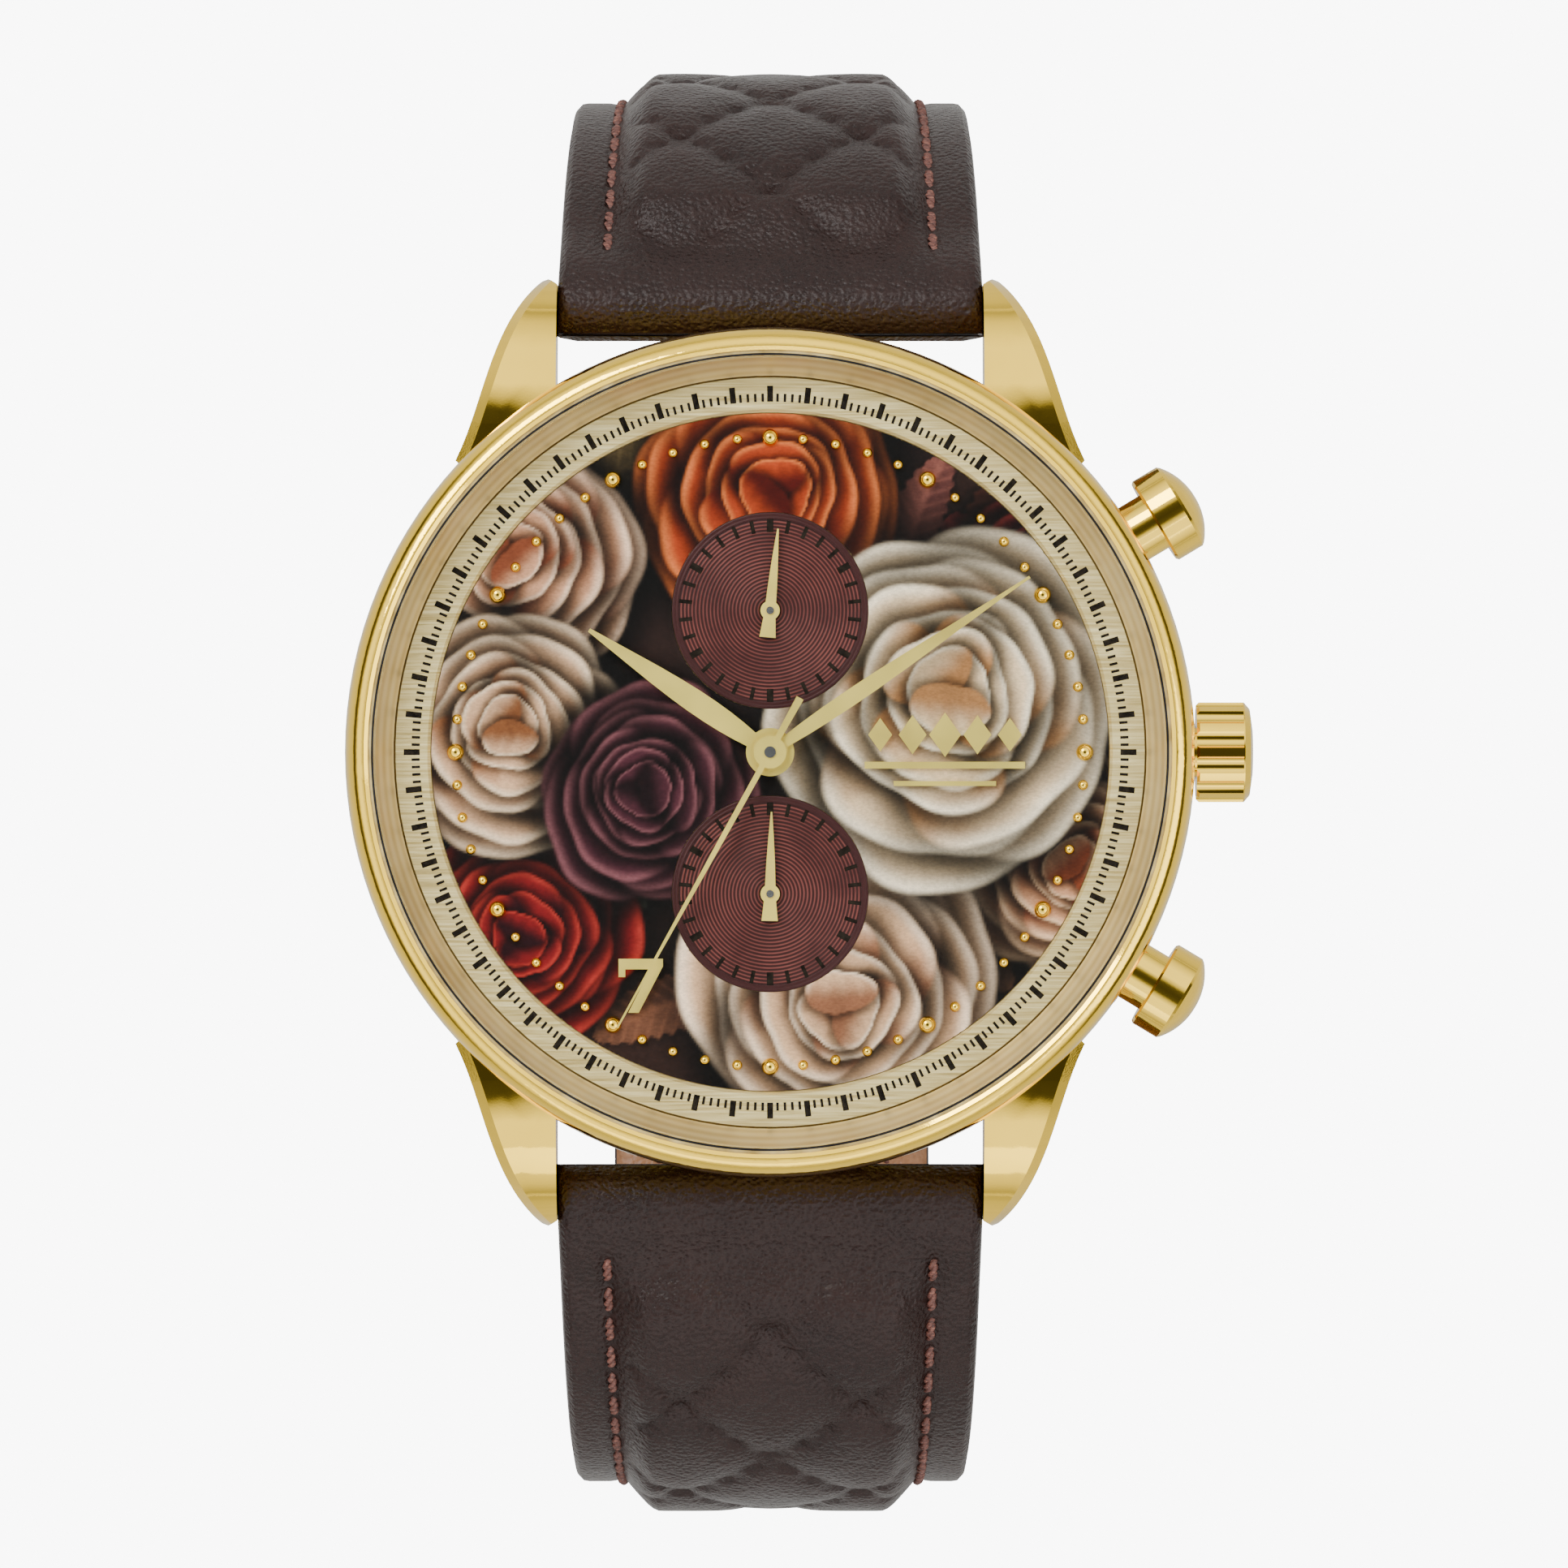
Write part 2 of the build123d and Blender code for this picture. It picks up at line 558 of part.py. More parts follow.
def pusher_spring(angle):
    turns = 6
    start = 17.9
    length = 21.0 - start
    wire = 0.1
    mean = 0.74
    path = Helix(pitch=length / turns, height=length, radius=mean)
    section = Plane(origin=path @ 0, z_dir=path % 0) * Circle(wire)
    return radial(angle, start) * sweep(section, path=path, is_frenet=True)


# ---------------------------------------------------------------- strap

class Path:
    """Centreline of a strap half in the YZ plane, as arcs and lines from the spring bar."""

    def __init__(self, y, z, heading, pieces):
        self.start = (y, z, math.radians(heading))
        self.pieces = pieces

    def at(self, s):
        """Point and heading (angle of travel from +Y towards +Z) at arc length s."""
        y, z, h = self.start
        for length, radius in self.pieces:
            d = min(s, length)
            if radius == 0:
                y += d * math.cos(h)
                z += d * math.sin(h)
            else:
                turn = d / radius
                y += radius * (math.sin(h + turn) - math.sin(h))
                z -= radius * (math.cos(h + turn) - math.cos(h))
                h += turn
            s -= d
            if s <= 1e-9:
                break
        return y, z, h


FLEX_S_12 = 25.8 * math.radians(55)
FLEX_S_6 = 20.4 * math.radians(75)
LENGTH_12 = 74.0
LENGTH_6 = 115.0
LEAN_12 = 60.0 * math.radians(7)
PATH_12 = Path(BAR_Y, BAR_Z, -35.0, [(FLEX_S_12, -25.8), (LEAN_12, -60.0), (LENGTH_12 - FLEX_S_12 - LEAN_12, 0)])
BEND_6 = 18.0 * math.pi / 2
KEEPER_LOW = -1.75
KEEPER_HIGH = 3.5
KEEPER_WALL = 0.9
PATH_6 = Path(-BAR_Y, BAR_Z, 195.0, [(FLEX_S_6, 20.4), (41.0, 0), (BEND_6, 18.0),
                                     (LENGTH_6 - FLEX_S_6 - 41.0 - BEND_6, 0)])


def thickness(s):
    if s < THIN_FROM:
        return STRAP_T
    share = min(1.0, (s - THIN_FROM) / (THIN_TO - THIN_FROM))
    return STRAP_T + (STRAP_T_END - STRAP_T) * share


def width(s):
    return STRAP_W0 + (STRAP_W1 - STRAP_W0) * min(1.0, s / TAPER_S)


def side_face(path, s0, s1, count):
    """Side view of the strap between two arc lengths."""
    one = []
    two = []
    for i in range(count + 1):
        s = s0 + (s1 - s0) * i / count
        y, z, h = path.at(s)
        half = thickness(s) / 2
        one.append((0, y - half * math.sin(h), z + half * math.cos(h)))
        two.append((0, y + half * math.sin(h), z - half * math.cos(h)))
    ends = [Line(one[0], two[0]), Line(one[-1], two[-1])]
    return make_face(Curve() + [Spline(*one), Spline(*two)] + ends)


def strap_slab(path, s0, s1, count):
    """Strap between two arc lengths with its taper, cut from an extruded side view."""
    slab = extrude(side_face(path, s0, s1, count), amount=STRAP_W0 / 2, dir=(1, 0, 0), both=True)
    right = []
    for i in range(count + 1):
        s = s0 + (s1 - s0) * i / count
        right.append((width(s) / 2, path.at(s)[1]))
    drop = min(z for x, z in right)
    low = [p for p in right if p[1] > drop + 0.4] + [(width(s1) / 2, drop - 3.0)]
    high = [(right[0][0] + 0.05, right[0][1] + 6.0)] + low
    outline = [(x, 0, z) for x, z in high] + [(-x, 0, z) for x, z in reversed(high)]
    front = make_face(Polyline(*outline, close=True))
    return slab & extrude(front, amount=60.0, dir=(0, 1, 0), both=True)


def x_bar(y, z, radius, length):
    return Pos(0, y, z) * Rot(0, 90, 0) * Cylinder(radius, length)


def strap_root(path, s_flex):
    """Half of the strap next to the lugs, with the roll round the spring bar."""
    slab = strap_slab(path, 0.0, s_flex, 8)
    y, z, _ = path.at(0)
    roll = x_bar(y, z, ROLL_R, STRAP_W0)
    yk, zk, _ = path.at(s_flex)
    knuckle = x_bar(yk, zk, STRAP_T / 2, width(s_flex) - 0.02)
    return slab + roll + knuckle - x_bar(y, z, BAR_R + 0.3, 30)


def strap_end(path, s_flex, s_end, count):
    slab = strap_slab(path, s_flex, s_end, count)
    yk, zk, _ = path.at(s_flex)
    return slab - x_bar(yk, zk, STRAP_T / 2 + KNUCKLE_GAP, 40)


def local(path, s, side):
    """Frame on the centreline: Y runs towards the tip, Z out of the show face."""
    y, z, h = path.at(s)
    x_dir = (side, 0, 0)
    return Plane(origin=(0, y, z), x_dir=x_dir, z_dir=(0, -side * math.sin(h), side * math.cos(h)))


def strap_12_end():
    body = strap_end(PATH_12, FLEX_S_12, LENGTH_12, 10)
    frame = local(PATH_12, LENGTH_12, 1)
    body += frame * (Rot(0, 90, 0) * Cylinder(BUCKLE_END_R, STRAP_W1))
    body -= frame * (Rot(0, 90, 0) * Cylinder(BUCKLE_BAR_R + 0.3, 30))
    return body - frame * block(-1.35, 1.35, -3.2, 5.0, -3.0, 3.0)


def strap_6_end():
    body = strap_end(PATH_6, FLEX_S_6, LENGTH_6, 16)
    for i in range(HOLES):
        body -= local(PATH_6, HOLE_FIRST_S + i * HOLE_PITCH - 6.0, -1) * Cylinder(HOLE_R, 8.0)
    y_tip, z_tip, _ = PATH_6.at(LENGTH_6)
    round_end = Pos(0, y_tip - 9.05, z_tip) * Cylinder(9.05, 10.0)
    keep = block(-12, 12, y_tip - 80, y_tip - 9.05, z_tip - 10, z_tip + 90)
    return body & (round_end + keep)


def keeper(s, length):
    """Leather loop round the strap, with room for the other strap half on its outer side."""
    half_w = width(s - length) / 2 + 0.35
    side = half_w + KEEPER_WALL
    inner = block(-half_w, half_w, -length, length, KEEPER_LOW, KEEPER_HIGH)
    outer = block(-side, side, -length / 2, length / 2, KEEPER_LOW - KEEPER_WALL, KEEPER_HIGH + KEEPER_WALL)
    outer = fillet(outer.edges().filter_by(Axis.Y), 0.75)
    return local(PATH_12, s, 1) * (outer - inner)


def fixed_keeper():
    """Loop that stays near the buckle, with small pads that grip the strap edges."""
    frame = local(PATH_12, 66.0, 1)
    near = width(63.5) / 2 + 0.02
    pads = block(-near - 0.6, -near, -2.5, 2.5, -1.0, 1.0) + block(near, near + 0.6, -2.5, 2.5, -1.0, 1.0)
    return keeper(66.0, 5.5) + frame * pads


# ---------------------------------------------------------------- buckle

def buckle_frame():
    body = block(-11.6, 11.6, -1.7, 10.2, -0.95, 0.95)
    body = fillet(body.edges().filter_by(Axis.Z), 1.6)
    body = chamfer(body.faces().sort_by(Axis.Z)[-1].edges(), 0.3)
    body -= block(-9.35, 9.35, -5.0, 8.2, -3, 3)
    body -= Rot(0, 90, 0) * Cylinder(0.42, 21.0)
    return local(PATH_12, LENGTH_12, 1) * body


def buckle_bar():
    bar = Cylinder(BUCKLE_BAR_R, 18.6) + Cylinder(0.4, 20.9)
    return local(PATH_12, LENGTH_12, 1) * (Rot(0, 90, 0) * bar)


def buckle_tang():
    loop = Rot(0, 90, 0) * (Cylinder(1.15, 1.9) - Cylinder(BUCKLE_BAR_R + RUN, 3.0))
    arm = block(-0.8, 0.8, 0.75, 10.3, 1.0, 1.75) + block(-0.8, 0.8, 0.72, 1.5, 0.3, 1.75)
    return local(PATH_12, LENGTH_12, 1) * (loop + arm)


# ---------------------------------------------------------------- write every node

def main():
    save(case_middle(), "case_middle")
    save(bezel(), "bezel")
    save(crystal(), "crystal")
    save(tube(BEZEL_IN_R, CRYSTAL_R, CASE_Z1, 9.75), "crystal_gasket")
    save(case_back(), "case_back")
    save(tube(20.7, 20.2, CASE_Z0, CASE_Z0 + 0.4), "case_back_gasket")
    save(case_tubes(), "case_tubes")
    save(rehaut_ring(), "rehaut_ring")
    save(dial_plate(), "dial_plate")
    save(dial_print(), "dial_print")
    save(minute_track_ring(), "minute_track_ring")
    save(subdial_discs(), "subdial_discs")
    save(index_dots(), "index_dots")
    save(numeral_seven(), "numeral_seven")
    save(dial_emblem(), "dial_emblem")
    save(movement_holder(), "movement_holder")
    save(main_plate(), "main_plate")
    save(train_bridge(), "train_bridge")
    save(jewels(), "jewels")
    save(bridge_screws(), "bridge_screws")
    save(circuit_board(), "circuit_board")
    save(stator(), "stator")
    save(coil(), "coil")
    save(battery(), "battery")
    bars = [x_bar(y, BAR_Z, BAR_R, 21.9) + x_bar(y, BAR_Z, BAR_TIP_R, 23.9) for y in (BAR_Y, -BAR_Y)]
    save(Compound(children=bars), "spring_bars")

    save(hand(11.3, 1.25, 0.7, 1.2, 0.45, 0.2, 0.8, 7.25, 0.15, 304.0), "hour_hand")
    save(hand(16.2, 0.95, 0.5, 0.85, 0.28, 0.14, 0.45, 7.6, 0.15, 56.0), "minute_hand")
    save(hand(16.3, 0.85, 0.3, 0.28, 0.3, 0.1, PIVOT_R, 7.95, 0.15, 209.0, 3.2, 0.4), "chrono_seconds_hand")
    counter_hand = hand(4.25, 0.5, 0.55, 0.5, 0.25, 0.08, PIVOT_R, 6.9, 0.12, 5.5, 1.4, 0.85)
    save(at(COUNTER, counter_hand), "minute_counter_hand")
    seconds_hand = hand(4.25, 0.5, 0.55, 0.5, 0.25, 0.08, PIVOT_R, 6.9, 0.12, 1.0, 1.4, 0.85)
    save(at(SECONDS, seconds_hand), "small_seconds_hand")

    save(hour_wheel(), "hour_wheel")
    save(cannon_pinion(), "cannon_pinion")
    save(minute_wheel(), "minute_wheel")
    save(chrono_wheel(), "chrono_wheel")
    save(counter_idler(), "counter_idler")
    save(counter_wheel(), "counter_wheel")
    save(fourth_wheel(), "fourth_wheel")
    save(third_wheel(), "third_wheel")
    save(centre_wheel(), "centre_wheel")
    save(rotor(), "rotor")

    save(clutch_wheel(), "clutch_wheel")
    save(crown(), "crown")
    save(crown_stem(), "crown_stem")
    save(setting_lever(), "setting_lever")
    save(pusher(PUSH_ANGLE), "start_pusher")
    save(pusher(-PUSH_ANGLE), "reset_pusher")
    save(pusher_spring(PUSH_ANGLE), "start_spring")
    save(pusher_spring(-PUSH_ANGLE), "reset_spring")
    save(push_lever(1), "start_lever")
    save(push_lever(-1), "reset_lever")

    save(strap_root(PATH_12, FLEX_S_12), "strap_12_root")
    save(strap_12_end(), "strap_12_end")
    save(strap_root(PATH_6, FLEX_S_6), "strap_6_root")
    save(strap_6_end(), "strap_6_end")
    save(fixed_keeper(), "fixed_keeper")
    save(keeper(52.0, 6.0), "free_keeper")
    save(buckle_frame(), "buckle_frame")
    save(buckle_bar(), "buckle_bar")
    save(buckle_tang(), "buckle_tang")


main()
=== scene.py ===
import json
import math

import bpy
import numpy as np
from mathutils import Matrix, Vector


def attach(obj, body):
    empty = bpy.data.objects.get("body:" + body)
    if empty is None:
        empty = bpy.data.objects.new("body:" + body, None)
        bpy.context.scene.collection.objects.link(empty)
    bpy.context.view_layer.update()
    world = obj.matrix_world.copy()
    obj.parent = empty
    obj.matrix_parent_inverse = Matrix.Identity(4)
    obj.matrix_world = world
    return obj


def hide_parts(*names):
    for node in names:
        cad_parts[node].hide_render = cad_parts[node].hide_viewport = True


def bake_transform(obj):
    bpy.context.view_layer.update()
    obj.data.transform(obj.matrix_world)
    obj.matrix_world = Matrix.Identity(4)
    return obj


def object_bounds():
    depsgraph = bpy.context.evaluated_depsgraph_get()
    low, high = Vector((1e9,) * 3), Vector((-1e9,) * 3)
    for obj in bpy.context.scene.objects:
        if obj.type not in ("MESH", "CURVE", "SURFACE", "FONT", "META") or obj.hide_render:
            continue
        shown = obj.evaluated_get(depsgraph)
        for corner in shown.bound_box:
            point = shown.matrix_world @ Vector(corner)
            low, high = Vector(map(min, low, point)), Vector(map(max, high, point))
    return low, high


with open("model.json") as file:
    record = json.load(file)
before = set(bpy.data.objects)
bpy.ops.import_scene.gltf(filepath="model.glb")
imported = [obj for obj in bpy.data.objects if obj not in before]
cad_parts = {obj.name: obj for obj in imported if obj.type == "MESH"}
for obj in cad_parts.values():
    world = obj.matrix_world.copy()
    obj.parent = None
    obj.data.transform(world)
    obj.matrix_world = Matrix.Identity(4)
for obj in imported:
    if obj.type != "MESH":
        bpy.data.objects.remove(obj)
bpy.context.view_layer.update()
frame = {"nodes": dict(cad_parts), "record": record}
MM = 0.001


# ------------------------------------------------------------------ camera, world and lights

def add_camera():
    data = bpy.data.cameras.new("camera")
    data.sensor_width = 36.0
    data.lens = 286.0
    data.clip_start = 0.05
    data.clip_end = 20.0
    camera = bpy.data.objects.new("camera", data)
    camera.location = (0.00072, -0.00165, 0.652)
    bpy.context.collection.objects.link(camera)
    bpy.context.scene.camera = camera


def area(name, at, target, size, watts, colour=(1, 1, 1)):
    data = bpy.data.lights.new(name, "AREA")
    data.shape = "RECTANGLE"
    data.size = size[0]
    data.size_y = size[1]
    data.energy = watts
    data.color = colour
    lamp = bpy.data.objects.new(name, data)
    lamp.location = at
    lamp.rotation_euler = (Vector(target) - Vector(at)).to_track_quat("-Z", "Y").to_euler()
    bpy.context.collection.objects.link(lamp)


def add_world():
    world = bpy.data.worlds.new("studio")
    bpy.context.scene.world = world
    world.use_nodes = True
    tree = world.node_tree
    tree.nodes.clear()
    out = tree.nodes.new("ShaderNodeOutputWorld")
    back = tree.nodes.new("ShaderNodeBackground")
    ramp = tree.nodes.new("ShaderNodeValToRGB")
    split = tree.nodes.new("ShaderNodeSeparateXYZ")
    coord = tree.nodes.new("ShaderNodeTexCoord")
    tree.links.new(coord.outputs["Generated"], split.inputs[0])

    def spread(value, low, high, to_low, to_high):
        node = tree.nodes.new("ShaderNodeMapRange")
        node.interpolation_type = "SMOOTHSTEP"
        for key, number in (("From Min", low), ("From Max", high), ("To Min", to_low), ("To Max", to_high)):
            node.inputs[key].default_value = number
        tree.links.new(value, node.inputs["Value"])
        return node.outputs["Result"]

    def math_node(operation, first, second=None):
        node = tree.nodes.new("ShaderNodeMath")
        node.operation = operation
        tree.links.new(first, node.inputs[0])
        if second is not None:
            tree.links.new(second, node.inputs[1])
        return node.outputs[0]

    sides = spread(math_node("ABSOLUTE", split.outputs["X"]), 0.5, 0.85, 0.0, 1.0)
    low = spread(split.outputs["Z"], 0.2, 0.6, 0.92, 0.0)
    flags = math_node("MULTIPLY", sides, low)
    height = tree.nodes.new("ShaderNodeMapRange")
    height.inputs["From Min"].default_value = -1.0
    tree.links.new(split.outputs["Z"], height.inputs["Value"])
    tree.links.new(height.outputs["Result"], ramp.inputs[0])
    stops = [(0.0, 0.8), (0.47, 0.8), (0.52, 0.3), (0.60, 0.6), (0.78, 1.0), (0.93, 1.0), (0.965, 0.5),
             (0.985, 0.05), (1.0, 0.03)]
    elements = ramp.color_ramp.elements
    while len(elements) < len(stops):
        elements.new(0.5)
    for element, (place, value) in zip(elements, stops):
        element.position = place
        element.color = (value, value * 0.995, value * 0.98, 1)
    back.inputs["Strength"].default_value = 2.1
    dim = tree.nodes.new("ShaderNodeMix")
    dim.data_type = "RGBA"
    tree.links.new(flags, dim.inputs[0])
    tree.links.new(ramp.outputs[0], dim.inputs[6])
    dim.inputs[7].default_value = (0.02, 0.018, 0.015, 1)
    tree.links.new(dim.outputs[2], back.inputs["Color"])
    tree.links.new(back.outputs[0], out.inputs["Surface"])


add_camera()
add_world()
area("key", (-0.30, 0.34, 0.55), (0, 0, 0), (0.35, 0.35), 4.0)
area("fill", (0.45, -0.15, 0.45), (0, 0, 0), (0.4, 0.5), 1.2)
area("front", (0.0, -0.6, 0.35), (0, 0, -0.03), (0.8, 0.25), 0.8)


# ------------------------------------------------------------------ materials

class Nodes:
    """Small helper that adds shader nodes and links them."""

    def __init__(self, name):
        self.material = bpy.data.materials.new(name)
        self.material.use_nodes = True
        self.tree = self.material.node_tree
        self.bsdf = self.tree.nodes["Principled BSDF"]
        self.out = self.tree.nodes["Material Output"]
        self.coord = self.tree.nodes.new("ShaderNodeTexCoord").outputs["Object"]

    def add(self, kind, values=None, **settings):
        node = self.tree.nodes.new(kind)
        for key, value in settings.items():
            setattr(node, key, value)
        for key, value in (values or {}).items():
            if hasattr(value, "is_output"):
                self.tree.links.new(value, node.inputs[key])
            else:
                node.inputs[key].default_value = value
        return node

    def set(self, **values):
        for key, value in values.items():
            socket = self.bsdf.inputs[key.replace("_", " ")]
            if hasattr(value, "is_output"):
                self.tree.links.new(value, socket)
            else:
                socket.default_value = value

    def mapping(self, scale):
        return self.add("ShaderNodeMapping", {"Vector": self.coord, "Scale": scale}).outputs[0]

    def noise(self, scale, detail=3.0, rough=0.5, vector=None):
        values = {"Vector": vector or self.coord, "Scale": scale, "Detail": detail, "Roughness": rough}
        return self.add("ShaderNodeTexNoise", values).outputs[0]

    def math(self, operation, a, b=0.0, c=0.0):
        return self.add("ShaderNodeMath", {0: a, 1: b, 2: c}, operation=operation).outputs[0]

    def ramp(self, value, stops):
        node = self.add("ShaderNodeValToRGB", {0: value})
        elements = node.color_ramp.elements
        while len(elements) < len(stops):
            elements.new(0.5)
        for element, (place, colour) in zip(elements, stops):
            element.position = place
            element.color = (*colour, 1)
        return node.outputs[0]

    def range(self, value, low, high, to_low, to_high):
        values = {"Value": value, "From Min": low, "From Max": high, "To Min": to_low, "To Max": to_high}
        return self.add("ShaderNodeMapRange", values).outputs[0]

    def bump(self, height, strength, distance):
        return self.add("ShaderNodeBump", {"Height": height, "Strength": strength, "Distance": distance}).outputs[0]


def rgb(text):
    """Linear colour from a hex string."""
    parts = [int(text[i:i + 2], 16) / 255 for i in (0, 2, 4)]
    return tuple(p / 12.92 if p <= 0.04045 else ((p + 0.055) / 1.055) ** 2.4 for p in parts)


def metal(name, colour, rough, wear=0.03, grain=None, strength=0.05):
    """Metal with slight roughness variation, optionally with a directional grain."""
    n = Nodes(name)
    cloud = n.noise(220.0, 4.0)
    dark = tuple(c * 0.9 for c in colour)
    n.set(Base_Color=n.ramp(cloud, [(0.3, dark), (0.7, colour)]), Metallic=1.0)
    n.set(Roughness=n.range(cloud, 0.3, 0.7, max(rough - wear, 0.02), rough + wear))
    fine = n.noise(1.0, 2.0, 0.5, n.mapping(grain)) if grain else n.noise(9000.0, 2.0)
    n.set(Normal=n.bump(fine, strength, 0.00002))
    return n.material


def subdial_material():
    """Dark red-brown with concentric groove rings round both sub-dial centres; the colour is painted darker in each
    groove trough and lighter on each crest (painted shade and painted highlight).
    """
    n = Nodes("subdial_azure")
    split = n.add("ShaderNodeSeparateXYZ", {0: n.coord})
    y = n.math("SUBTRACT", n.math("ABSOLUTE", split.outputs["Y"]), 0.00734)
    x = split.outputs["X"]
    r = n.math("SQRT", n.math("ADD", n.math("MULTIPLY", x, x), n.math("MULTIPLY", y, y)))
    wave = n.math("SINE", n.math("MULTIPLY", r, 2 * math.pi / 0.00019))
    share = n.range(wave, -1.0, 1.0, 0.0, 1.0)
    cloud = n.noise(500.0, 3.0)
    mixed = n.math("MULTIPLY", share, n.range(cloud, 0.3, 0.7, 0.75, 1.1))
    # painted shade and painted highlight: colour darker in each groove trough and lighter on each crest, following the
    # bump height
    groove_shading = n.ramp(mixed, [(0.1, rgb("2a0d0d")), (0.6, rgb("481e1c")), (0.95, rgb("7a403a"))])
    rim = n.math("GREATER_THAN", r, 0.00474)
    colour = n.add("ShaderNodeMix", {0: rim, 6: groove_shading, 7: (*rgb("381616"), 1)}, data_type="RGBA").outputs[2]
    n.set(Base_Color=colour, Metallic=0.35, Roughness=0.32)
    n.set(Normal=n.bump(share, 0.35, 0.00003))
    return n.material


def ring_material():
    """Champagne metal with a fine horizontal brushing."""
    n = Nodes("champagne_brushed")
    grain = n.noise(1.0, 3.0, 0.6, n.mapping((260.0, 9000.0, 260.0)))
    n.set(Base_Color=n.ramp(grain, [(0.3, rgb("bfa868")), (0.5, rgb("d9c588")), (0.72, rgb("eee0a8"))]))
    n.set(Metallic=0.55, Roughness=n.range(grain, 0.3, 0.7, 0.34, 0.5), Normal=n.bump(grain, 0.25, 0.00002))
    return n.material


def rehaut_material():
    """Satin gold slope with fine rings."""
    n = Nodes("rehaut_satin")
    split = n.add("ShaderNodeSeparateXYZ", {0: n.coord})
    x, y = split.outputs["X"], split.outputs["Y"]
    r = n.math("SQRT", n.math("ADD", n.math("MULTIPLY", x, x), n.math("MULTIPLY", y, y)))
    wave = n.math("SINE", n.math("MULTIPLY", r, 2 * math.pi / 0.00034))
    cloud = n.noise(300.0, 3.0)
    share = n.math("ADD", n.range(wave, -1, 1, 0.4, 0.55), n.math("MULTIPLY", cloud, 0.3))
    n.set(Base_Color=n.ramp(share, [(0.4, rgb("b99c66")), (0.65, rgb("e0cb94")), (0.9, rgb("f1e2b6"))]))
    n.set(Metallic=0.6, Roughness=0.33, Normal=n.bump(cloud, 0.05, 0.00002))
    return n.material


def gasket_material():
    """Thin black seal between the polished bezel lip and the satin slope inside it."""
    n = Nodes("crystal_seal")
    split = n.add("ShaderNodeSeparateXYZ", {0: n.coord})
    x, y = split.outputs["X"], split.outputs["Y"]
    r = n.math("SQRT", n.math("ADD", n.math("MULTIPLY", x, x), n.math("MULTIPLY", y, y)))
    cloud = n.noise(900.0, 3.0)
    lip = n.ramp(cloud, [(0.3, rgb("c9ad6a")), (0.7, rgb("e6cf8e"))])
    inside = n.math("LESS_THAN", n.math("ABSOLUTE", n.math("SUBTRACT", r, 0.02052)), 0.00006)
    seal = n.add("ShaderNodeMix", {0: inside, 6: lip, 7: (0.004, 0.003, 0.003, 1)}, data_type="RGBA").outputs[2]
    n.set(Base_Color=seal, Metallic=n.range(inside, 0, 1, 0.7, 0.0), Roughness=n.range(cloud, 0.3, 0.7, 0.28, 0.4))
    n.set(Normal=n.bump(cloud, 0.05, 0.00002))
    return n.material


def crystal_material():
    n = Nodes("crystal_clear")
    smear = n.noise(60.0, 3.0)
    clear = n.add("ShaderNodeBsdfTransparent", {"Color": (0.99, 0.995, 0.99, 1)})
    gloss = n.add("ShaderNodeBsdfGlossy", {"Color": (1, 1, 1, 1), "Roughness": n.range(smear, 0.3, 0.7, 0.01, 0.03)})
    edge = n.add("ShaderNodeFresnel", {"IOR": 1.12})
    mix = n.add("ShaderNodeMixShader", {0: edge.outputs[0], 1: clear.outputs[0], 2: gloss.outputs[0]})
    n.tree.links.new(mix.outputs[0], n.out.inputs["Surface"])
    return n.material


def leather_material(name, base, high, grain=1.0):
    """Pebbled calf leather: cells, fine wrinkles and a soft uneven sheen."""
    n = Nodes(name)
    warp = n.noise(350.0, 2.0)
    shift = n.add("ShaderNodeMix", {0: 0.0006, 6: n.coord, 7: warp}, data_type="RGBA").outputs[2]
    cells = n.add("ShaderNodeTexVoronoi", {"Vector": shift, "Scale": 4300.0, "Randomness": 1.0},
                  feature="SMOOTH_F1").outputs[0]
    pores = n.noise(5200.0, 4.0, 0.6)
    folds = n.noise(1.0, 3.0, 0.6, n.mapping((700.0, 2600.0, 2600.0)))
    height = n.math("ADD", n.math("MULTIPLY", cells, 0.9), n.math("MULTIPLY", pores, 0.5))
    height = n.math("ADD", height, n.math("MULTIPLY", folds, 0.45))
    patch = n.noise(160.0, 4.0, 0.6)
    tone = n.math("ADD", n.math("MULTIPLY", patch, 0.65), n.math("MULTIPLY", cells, 0.35))
    n.set(Base_Color=n.ramp(tone, [(0.25, base), (0.75, high)]))
    n.set(Roughness=n.range(patch, 0.3, 0.7, 0.24, 0.36), Specular_IOR_Level=0.2)
    n.set(Normal=n.bump(height, 0.9 * grain, 0.00012))
    return n.material


def thread_material():
    n = Nodes("waxed_thread")
    fibre = n.noise(1.0, 3.0, 0.6, n.mapping((2500.0, 9000.0, 9000.0)))
    n.set(Base_Color=n.ramp(fibre, [(0.3, rgb("341a15")), (0.55, rgb("60372e")), (0.75, rgb("90604f"))]))
    n.set(Roughness=0.6, Normal=n.bump(fibre, 0.3, 0.00003))
    return n.material


def print_material():
    """Lacquered print: painted colours under a fine canvas weave."""
    n = Nodes("rose_print")
    paint = n.add("ShaderNodeVertexColor", layer_name="paint").outputs[0]
    weave = n.noise(1.0, 2.0, 0.5, n.mapping((5200.0, 9500.0, 100.0)))
    mottle = n.noise(2600.0, 4.0, 0.7)
    light = n.math("ADD", n.range(weave, 0.3, 0.7, 0.88, 1.15), n.range(mottle, 0.3, 0.7, -0.09, 0.1))
    grey = n.add("ShaderNodeCombineColor", {0: light, 1: light, 2: light}).outputs[0]
    tint = n.add("ShaderNodeMix", {0: 1.0, 6: paint, 7: grey}, data_type="RGBA", blend_type="MULTIPLY").outputs[2]
    n.set(Base_Color=tint, Roughness=0.5, Specular_IOR_Level=0.12, Normal=n.bump(weave, 0.08, 0.00002))
    return n.material


